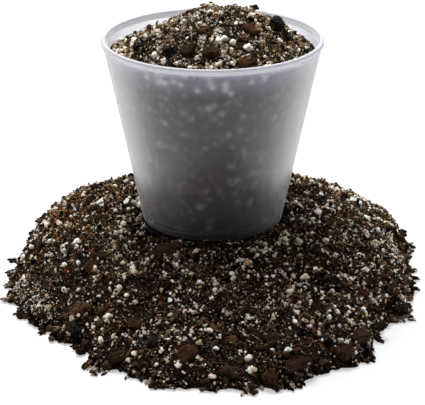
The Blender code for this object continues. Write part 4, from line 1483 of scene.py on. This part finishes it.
rng = np.random.default_rng(81)
for name, spots, count, keep, lay, size, twins, rise in (
        ("heap_perlite", spots_on_heap, 2600, clear_of_foot, on_heap, COARSE, 0.45, 0.0016),
        ("fill_perlite", spots_on_fill, 900, off_crest, on_fill, FILL_COARSE, 0.5, 0.0012)):
    put_perlite(name, rng, spots(count, rng, keep), lay, ROUND_BALL, size, twins, rise, 0.36)

# %% [markdown]
# Perlite dust: grains of half a millimetre or so, which read as light specks between the rest.
# At the heap's edge it lies in pale patches, three at the left and two at the right.

# %% Perlite specks
DUST_PATCHES = ((-0.107, -0.040, 0.0035, 0.0070, 550), (-0.097, -0.058, 0.0045, 0.0070, 520),
                (-0.088, -0.072, 0.0035, 0.0050, 300), (0.110, 0.006, 0.0050, 0.0090, 400),
                (0.082, -0.101, 0.0060, 0.0080, 400))
SPECKS = (0.00080, 0.34, 0.00040, 0.0015, 0.4)
SPECK_RISE = 0.0022


def specks_on_heap(count, rng, keep=None):
    """Even specks over the heap, plus the pale patches: middle + spread * normal in x and y."""
    x, y = spots_on_heap(count, rng, keep)
    for middle_x, middle_y, spread_x, spread_y, more in DUST_PATCHES:
        x = np.append(x, middle_x + spread_x * rng.normal(0, 1, more))
        y = np.append(y, middle_y + spread_y * rng.normal(0, 1, more))
    inside = from_edge(x, y) > 0.0
    return x[inside], y[inside]


for name, spots, count, keep, lay in (("heap_perlite_specks", specks_on_heap, 4200, None, on_heap),
                                      ("fill_perlite_specks", spots_on_fill, 2200, off_black, on_fill)):
    put_perlite(name, rng, spots(count, rng, keep), lay, SMALL_BALL, SPECKS, 0.0, SPECK_RISE, 0.25)

# %% [markdown]
# The dark part of the mix is crumbs of peat, coir and composted bark. Their tints run from black
# through dark brown to tan. Crumbs cling together in clods, and the gaps between clods are the
# dark spots of the heap: so crumbs are scattered round common middles, and rise towards them.

# %% The crumbs' finish
crumb_look = Look("peat_crumbs", 0.95, 0.03)
worn = crumb_look.group(blotches, Scale=900.0, Low=0.40, High=0.70)
shade = crumb_look.mix(worn, (0.50, 0.47, 0.44), (1.45, 1.42, 1.38))
crumb_look.paint(crumb_look.mix(1.0, crumb_look.attribute("tint"), shade, "MULTIPLY"))
crumb_look.bump(crumb_look.group(grit, Scale=1500.0, Pits=0.6), 0.8, 0.0005)
print("finish:", crumb_look.material.name)

# %% [markdown]
# A crumb's tint also depends on where it lies. The crumbs on the fill are painted lighter than those on the
# heap, and the fill has one black place, the heap has a warm place at the left, and both have patches of 12
# mm that are lighter or darker. Far out at the sides the mix is redder.

# %% Tints by place
WARM_PLACE = (-0.079, 0.026)
WARM_SPREAD = 0.030
WARMER = (0.7, 0.45, 0.15)
REDDER_SIDES = (1.06, 0.93, 0.78)
REDDEST_X = 0.07
PATCH_SPAN = 0.012
PATCH_STRENGTH = 0.75
HEAP_LIGHTER = 1.35
FILL_LIGHTER = 2.55
BLACK_LEVEL = 0.06
LIGHTEST_CRUMB = (0.60, 0.51, 0.41)


def placed(tints, x, y, lay):
    """Tints times patches, warmth and a lightness for each bed, held at the lightest crumb."""
    patches = 1 + PATCH_STRENGTH * lattice_bumps(x, y, PATCH_SPAN, seed=74)
    if lay is on_fill:
        patches = patches * np.maximum(off_black(x, y), BLACK_LEVEL)
    near = np.exp(-((x - WARM_PLACE[0]) ** 2 + (y - WARM_PLACE[1]) ** 2) / WARM_SPREAD ** 2)
    warmth = 1 + near[:, None] * np.array(WARMER) * (lay is on_heap)
    warmth = warmth * np.array(REDDER_SIDES) ** np.clip(np.abs(x) / REDDEST_X, 0, 1)[:, None]
    lit = tints * patches[:, None] * warmth * (FILL_LIGHTER if lay is on_fill else HEAP_LIGHTER)
    return np.minimum(lit, LIGHTEST_CRUMB)


print("crumbs are lighter on the fill than on the heap by", round(FILL_LIGHTER / HEAP_LIGHTER, 2))

# %% [markdown]
# Each bed gets coarse crumbs and, laid higher, finer ones that are also paler.

# %% Dark crumbs
CRUMB_TINTS = ((26, 0.0018, 0.0012, 0.0008), (28, 0.0240, 0.0145, 0.0082), (24, 0.0720, 0.0460, 0.0275),
               (12, 0.1500, 0.1020, 0.0630), (3, 0.2900, 0.2150, 0.1420), (3, 0.0780, 0.0360, 0.0180))
COARSE_TINTS = CRUMB_TINTS[:3] + CRUMB_TINTS[5:]
FINE_TINTS = CRUMB_TINTS + ((8, 0.2500, 0.1850, 0.1250), (10, 0.4000, 0.3200, 0.2400))
CRUMBS = (0.0020, 0.36, 0.0010, 0.0048, 0.5)
FINE = (0.0011, 0.34, 0.0005, 0.0020, 0.5)
FILL_CRUMBS = (0.0017, 0.36, 0.0009, 0.0042, 0.5)
FILL_FINE = (0.0010, 0.34, 0.0005, 0.0018, 0.5)
CRUMBS_A_CLOD = 7


def clods(rng, spots, each, spread, rise):
    """Places round common middles: middle + spread * normal, lifted by rise * e^-(distance/spread)^2."""
    x, y = (np.repeat(value, each) for value in spots)
    step_x, step_y = spread * rng.normal(0, 1, (2, len(x)))
    return x + step_x, y + step_y, rise * np.exp(-(step_x ** 2 + step_y ** 2) / spread ** 2)


def put_crumbs(name, rng, spots, lay, ball, size, lift, dents, palette, slot="compost", tilt=math.pi,
               form=(1.0, 1.0, 1.0)):
    """Crumbs of one size class, as one piece. spots are x, y and a lift for each."""
    x, y, rise = spots
    if lay is on_heap:
        good = (np.hypot(x, y) > FOOT_RADIUS + 0.001) & (from_edge(x, y) > 0.0)
    else:
        good = inside_lip(x, y)
    good &= clear_of_solids(x, y)
    x, y, rise = x[good], y[good], rise[good]
    sizes = grain_sizes(rng, len(x), *size, form=form)
    places = lay(x, y, sizes, lift)
    places[:, 2] += rise
    tints = placed(pick_tints(rng, len(x), palette, 0.30), x, y, lay)
    turn = turns(rng, len(x), tilt)
    crumbs = put_grains(name, ball, places, sizes, tints, rng, dents, turn)
    finish_piece(crumbs, crumb_look.material, slot)


rng = np.random.default_rng(82)
for ball, spread, rise, lift, dents, tints, beds in (
        (ROUND_BALL, 0.0019, 0.0016, 0.2, 0.24, COARSE_TINTS,
         (("heap_crumbs", spots_on_heap, 860, on_heap, CRUMBS),
          ("fill_crumbs", spots_on_fill, 260, on_fill, FILL_CRUMBS))),
        (SMALL_BALL, 0.0015, 0.0018, 0.5, 0.25, FINE_TINTS,
         (("heap_fine_crumbs", spots_on_heap, 3400, on_heap, FINE),
          ("fill_fine_crumbs", spots_on_fill, 1900, on_fill, FILL_FINE)))):
    for name, spots, count, lay, size in beds:
        placed_crumbs = clods(rng, spots(count, rng), CRUMBS_A_CLOD, spread, rise)
        put_crumbs(name, rng, placed_crumbs, lay, ball, size, lift, dents, tints)

# %% [markdown]
# Small bits of bark are flat flakes that lie nearly level, and splinters are short and thin.

# %% Bark bits and splinters
BARK_TINTS = ((4, 0.062, 0.028, 0.014), (4, 0.040, 0.021, 0.012), (1, 0.110, 0.056, 0.026),
              (1, 0.130, 0.085, 0.046))
SPLINTER_TINTS = ((4, 0.100, 0.060, 0.032), (3, 0.200, 0.135, 0.075), (2, 0.300, 0.230, 0.150),
                  (4, 0.030, 0.017, 0.009))
BITS = (0.0034, 0.28, 0.0020, 0.0062, 0.25)
SPLINTERS = (0.0022, 0.30, 0.0012, 0.0042, 0.2)
FLAKE = (1.0, 0.6, 0.3)
NEEDLE = (1.0, 0.20, 0.18)
FLAKE_TILT = 0.8


def level(spots):
    """Places with no extra lift."""
    return (*spots, np.zeros(len(spots[0])))


rng = np.random.default_rng(83)
for bed, spots, lay, bits, needles in (("heap", spots_on_heap, on_heap, 800, 5200),
                                       ("fill", spots_on_fill, on_fill, 200, 3200)):
    put_crumbs(bed + "_bark_bits", rng, level(spots(bits, rng)), lay, ROUND_BALL, BITS, 0.9, 0.18,
               BARK_TINTS, "bark", FLAKE_TILT, FLAKE)
    put_crumbs(bed + "_splinters", rng, level(spots(needles, rng)), lay, SMALL_BALL, SPLINTERS, 2.0, 0.15,
               SPLINTER_TINTS, form=NEEDLE)

# %% [markdown]
# Nothing in the mix is clean. Eighteen crumbs lie on the top of every chip and lump, at points
# picked from the upper part of its own mesh.

# %% Crumbs on the chips
CRUMBS_EACH = 18
UPPER_FROM = 0.45
TOP_CRUMBS = (0.0010, 0.35, 0.0005, 0.0020, 0.5)
PALE_CRUMB = ((14, 0.60, 0.54, 0.46),)
rng = np.random.default_rng(88)
tops = []
for piece in dusted:
    points = points_of(piece)
    upper = points[points[:, 2] > points[:, 2].min() + UPPER_FROM * np.ptp(points[:, 2])]
    tops.append(rng.choice(upper, CRUMBS_EACH))
places = np.vstack(tops)
sizes = grain_sizes(rng, len(places), *TOP_CRUMBS)
tints = pick_tints(rng, len(places), CRUMB_TINTS + PALE_CRUMB, 0.25)
top_crumbs = put_grains("crumbs_on_chips", ROUND_BALL, places, sizes, tints, rng, 0.24)
finish_piece(top_crumbs, crumb_look.material, "compost")

# %% [markdown]
# The heap's outline isn't a clean line. Longish bits lie out from it at all angles, mostly
# straight out at the right, and between them sit lumps of a few millimetres. A bit that would lie
# apart from the heap and from every bit that touches it is moved in to the outline.

# %% The ragged edge
TOUCHING_SHARE = 0.85
HELD_SHARE = 0.7
SPREADINGS = 12
BUNCH_SPREAD = 0.011


def lies_apart(x, y, sizes):
    """True for bits, taken as balls, that touch neither the outline nor a bit that touches it."""
    radius = TOUCHING_SHARE * sizes.mean(-1) / 2
    near = np.hypot(x[:, None] - x, y[:, None] - y) < radius[:, None] + radius
    held = from_edge(x, y) > -HELD_SHARE * radius
    for _ in range(SPREADINGS):
        held = held | near[:, held].any(1)
    return ~held


def round_edge(rng, count, sizes, sway, inside, outside, bunches):
    """Places in bunches along the edge, and turns that point outwards give or take sway.

    Each bunch has its own tip, up to outside beyond the edge, and runs back to inside of it.
    """
    middle = rng.uniform(0, 2 * np.pi, bunches)
    tip = outside * rng.uniform(0, 1, bunches) ** 1.5
    bunch = rng.integers(0, bunches, count)
    angle = middle[bunch] + BUNCH_SPREAD * rng.normal(0, 1, count)
    back = rng.uniform(0, 1, count)
    outline = np.interp(angle, edge_bearing, edge_reach, period=2 * np.pi)
    reach = outline + tip[bunch] * (1 - back) - inside * back
    reach = np.where(lies_apart(reach * np.cos(angle), reach * np.sin(angle), sizes), outline - 0.0005, reach)
    x, y = reach * np.cos(angle), reach * np.sin(angle)
    outward = angle + sway * rng.normal(0, 1, count)
    turn = np.tile(np.eye(3), (count, 1, 1))
    turn[:, 0, 0] = turn[:, 1, 1] = np.cos(outward)
    turn[:, 0, 1], turn[:, 1, 0] = -np.sin(outward), np.sin(outward)
    z = (0.0006 + heap_top(x * 0.99, y * 0.99)) * rng.uniform(0.15, 0.9, count)
    return np.stack([x, y, np.maximum(z, 0.4 * sizes[:, 2])], -1), turn


def put_edge(name, rng, count, size, form, sway, inside, outside, bunches, tints, dents):
    """Pieces of one kind along the edge, as one mesh."""
    sizes = grain_sizes(rng, count, *size, form=form)
    places, turn = round_edge(rng, count, sizes, sway, inside, outside, bunches)
    picked = pick_tints(rng, count, tints, 0.3)
    piece = put_grains(name, ROUND_BALL, places, sizes, picked, rng, dents, turn)
    finish_piece(piece, crumb_look.material, "compost")


rng = np.random.default_rng(84)
PALE_BITS = ((26, 0.55, 0.48, 0.40),)
put_edge("heap_edge_bits", rng, 3000, (0.0032, 0.42, 0.0012, 0.0085, 0.3), form=(1.0, 0.38, 0.38), sway=0.5,
         inside=0.0040, outside=0.0094, bunches=180, tints=CRUMB_TINTS + PALE_BITS, dents=0.2)
put_edge("heap_edge_lumps", rng, 520, (0.0044, 0.32, 0.0026, 0.0080, 0.45), form=(1.0, 0.8, 0.7), sway=3.0,
         inside=0.0035, outside=0.0055, bunches=130, tints=CRUMB_TINTS[:3] + BARK_TINTS[:2], dents=0.26)

# %% [markdown]
# A few specks of dust stick to the cup's lip and wall, where the photo shows them. Each spot is
# written as a bearing in degrees, a height above the foot in mm and a size in mm.

# %% Dust on the cup
DUST_SPOTS = ((212.8, 102.6, 0.8), (207.3, 101.6, 1.0), (198.7, 71.6, 0.9), (282.7, 102.5, 1.2),
              (308.0, 102.5, 0.7), (312.1, 74.5, 0.6), (295.4, 102.5, 0.6))
rng = np.random.default_rng(87)
around, above_foot, size = (np.array(DUST_SPOTS) * (math.pi / 180, 0.001, 0.001)).T
radius = np.where(above_foot > rim_under, RIM_RADIUS - 0.0010, wall_outer(above_foot) + SLIGHT)
sizes = size[:, None] * rng.uniform(0.5, 1.0, (len(size), 3))
places = np.stack([radius * np.cos(around), radius * np.sin(around), above_foot + CUP_FOOT_Z], -1)
tints = pick_tints(rng, len(size), CRUMB_TINTS[:2], 0.2)
dust = put_grains("dust_on_cup", ROUND_BALL, places, sizes, tints, rng, 0.2)
finish_piece(dust, crumb_look.material, "compost")

# %% [markdown]
# Coir and root fibres are thin curved threads, dark brown to straw. Along each, some stretches are
# darker and some paler than its tint.

# %% The fibres' finish
fibre_look = Look("fibres", 0.7, 0.2)
fray = fibre_look.group(blotches, Scale=600.0, Low=0.40, High=0.70)
fade = fibre_look.mix(fray, (0.60, 0.56, 0.52), (1.2, 1.2, 1.2))
fibre_look.paint(fibre_look.mix(1.0, fibre_look.attribute("tint"), fade, "MULTIPLY"))
fibre_look.bump(fibre_look.group(grit, Scale=2500.0, Pits=0.3), 0.3, 0.0002)
print("finish:", fibre_look.material.name)

# %% [markdown]
# Each fibre is a three-sided tube carried along a bent path: start + direction * s, with a direction
# that turns as s grows, and a small rise in the middle.

# %% Bent tubes
PATH_LIFT = 0.0007


def put_fibres(name, paths, thickness, tints):
    """Three-sided tubes along paths, an array of fibres by stations by 3, closed at both ends."""
    count, stations, _ = paths.shape
    ahead = np.gradient(paths, axis=1)
    side = np.cross(ahead, (0.0, 0.0, 1.0))
    side = side / np.maximum(np.linalg.norm(side, axis=-1, keepdims=True), 1e-9)
    over = np.cross(side, ahead / np.linalg.norm(ahead, axis=-1, keepdims=True))
    turn = np.linspace(0, 2 * np.pi, 3, endpoint=False)[:, None]
    thinner = 1 - 0.5 * np.abs(np.linspace(-1, 1, stations)) ** 3
    radius = thickness[:, None, None, None] / 2 * thinner[None, :, None, None]
    tube = paths[:, :, None] + radius * (side[:, :, None] * np.cos(turn) + over[:, :, None] * np.sin(turn))
    points = np.concatenate([tube.reshape(count, -1, 3), paths[:, :1], paths[:, -1:]], 1)
    faces, chart = facing_out(points[0], *skin(stations, 3))
    return put_copies(name, points, faces, chart, tints, smooth=True)


def lying_paths(top, x, y, length, angle, bend, rise, stations=7):
    """Bent paths on a surface: each station is rise above it in the middle, and on it at the ends."""
    step = np.linspace(-0.5, 0.5, stations)
    heading = angle[:, None] + bend[:, None] * step
    px = x[:, None] + length[:, None] * step * np.cos(heading)
    py = y[:, None] + length[:, None] * step * np.sin(heading)
    lift = PATH_LIFT + rise[:, None] * (1 - (2 * step) ** 2)
    return np.stack([px, py, top(px, py) + lift], -1)


print("a fibre has", len(skin(7, 3)[0]), "triangles")

# %% [markdown]
# Fibres are thrown over both beds, away from the cup's foot and the edges. Two pale root fibres on
# the fill lie where the photo shows them. Each is written as x, y, length, angle and bend.

# %% Fibres
FIBRE_TINTS = ((5, 0.050, 0.028, 0.014), (3, 0.150, 0.098, 0.052), (2, 0.300, 0.220, 0.140),
               (3, 0.020, 0.012, 0.007))
ROOT_FIBRES = ((-0.0127, -0.0286, 0.011, 2.5, 1.2), (0.0076, -0.0408, 0.008, 1.7, 1.8))
FIBRE_LENGTHS = (0.003, 0.009)
FIBRE_THICKNESSES = (0.00018, 0.00042)
FIBRE_BEND = 1.2
FIBRE_RISE = 0.0016
ROOT_RISE = 0.0034
ROOT_THICKNESS = 0.00060
ROOT_TINT = 0.58 * np.array((1.0, 0.86, 0.68))

rng = np.random.default_rng(86)
for bed, spots, top, count in (("heap", spots_on_heap, heap_top, 1700),
                               ("fill", spots_on_fill, fill_top, 700)):
    x, y = spots(count, rng)
    if bed == "heap":
        inside = (np.hypot(x, y) > FOOT_RADIUS + 0.007) & (from_edge(x, y) > 0.006)
    else:
        inside = np.hypot(x, y) < FILL_EDGE_RADIUS - 0.006
    x, y = x[inside], y[inside]
    paths = lying_paths(top, x, y, rng.uniform(*FIBRE_LENGTHS, len(x)), rng.uniform(0, 2 * np.pi, len(x)),
                        rng.normal(0, FIBRE_BEND, len(x)), rng.uniform(0, FIBRE_RISE, len(x)))
    fibres = put_fibres(bed + "_fibres", paths, rng.uniform(*FIBRE_THICKNESSES, len(x)),
                        pick_tints(rng, len(x), FIBRE_TINTS, 0.2))
    finish_piece(fibres, fibre_look.material, "compost")

roots = len(ROOT_FIBRES)
paths = lying_paths(fill_top, *np.array(ROOT_FIBRES).T, np.full(roots, ROOT_RISE), stations=15)
root_fibres = put_fibres("root_fibres", paths, np.full(roots, ROOT_THICKNESS), np.tile(ROOT_TINT, (roots, 1)))
finish_piece(root_fibres, fibre_look.material, "compost")
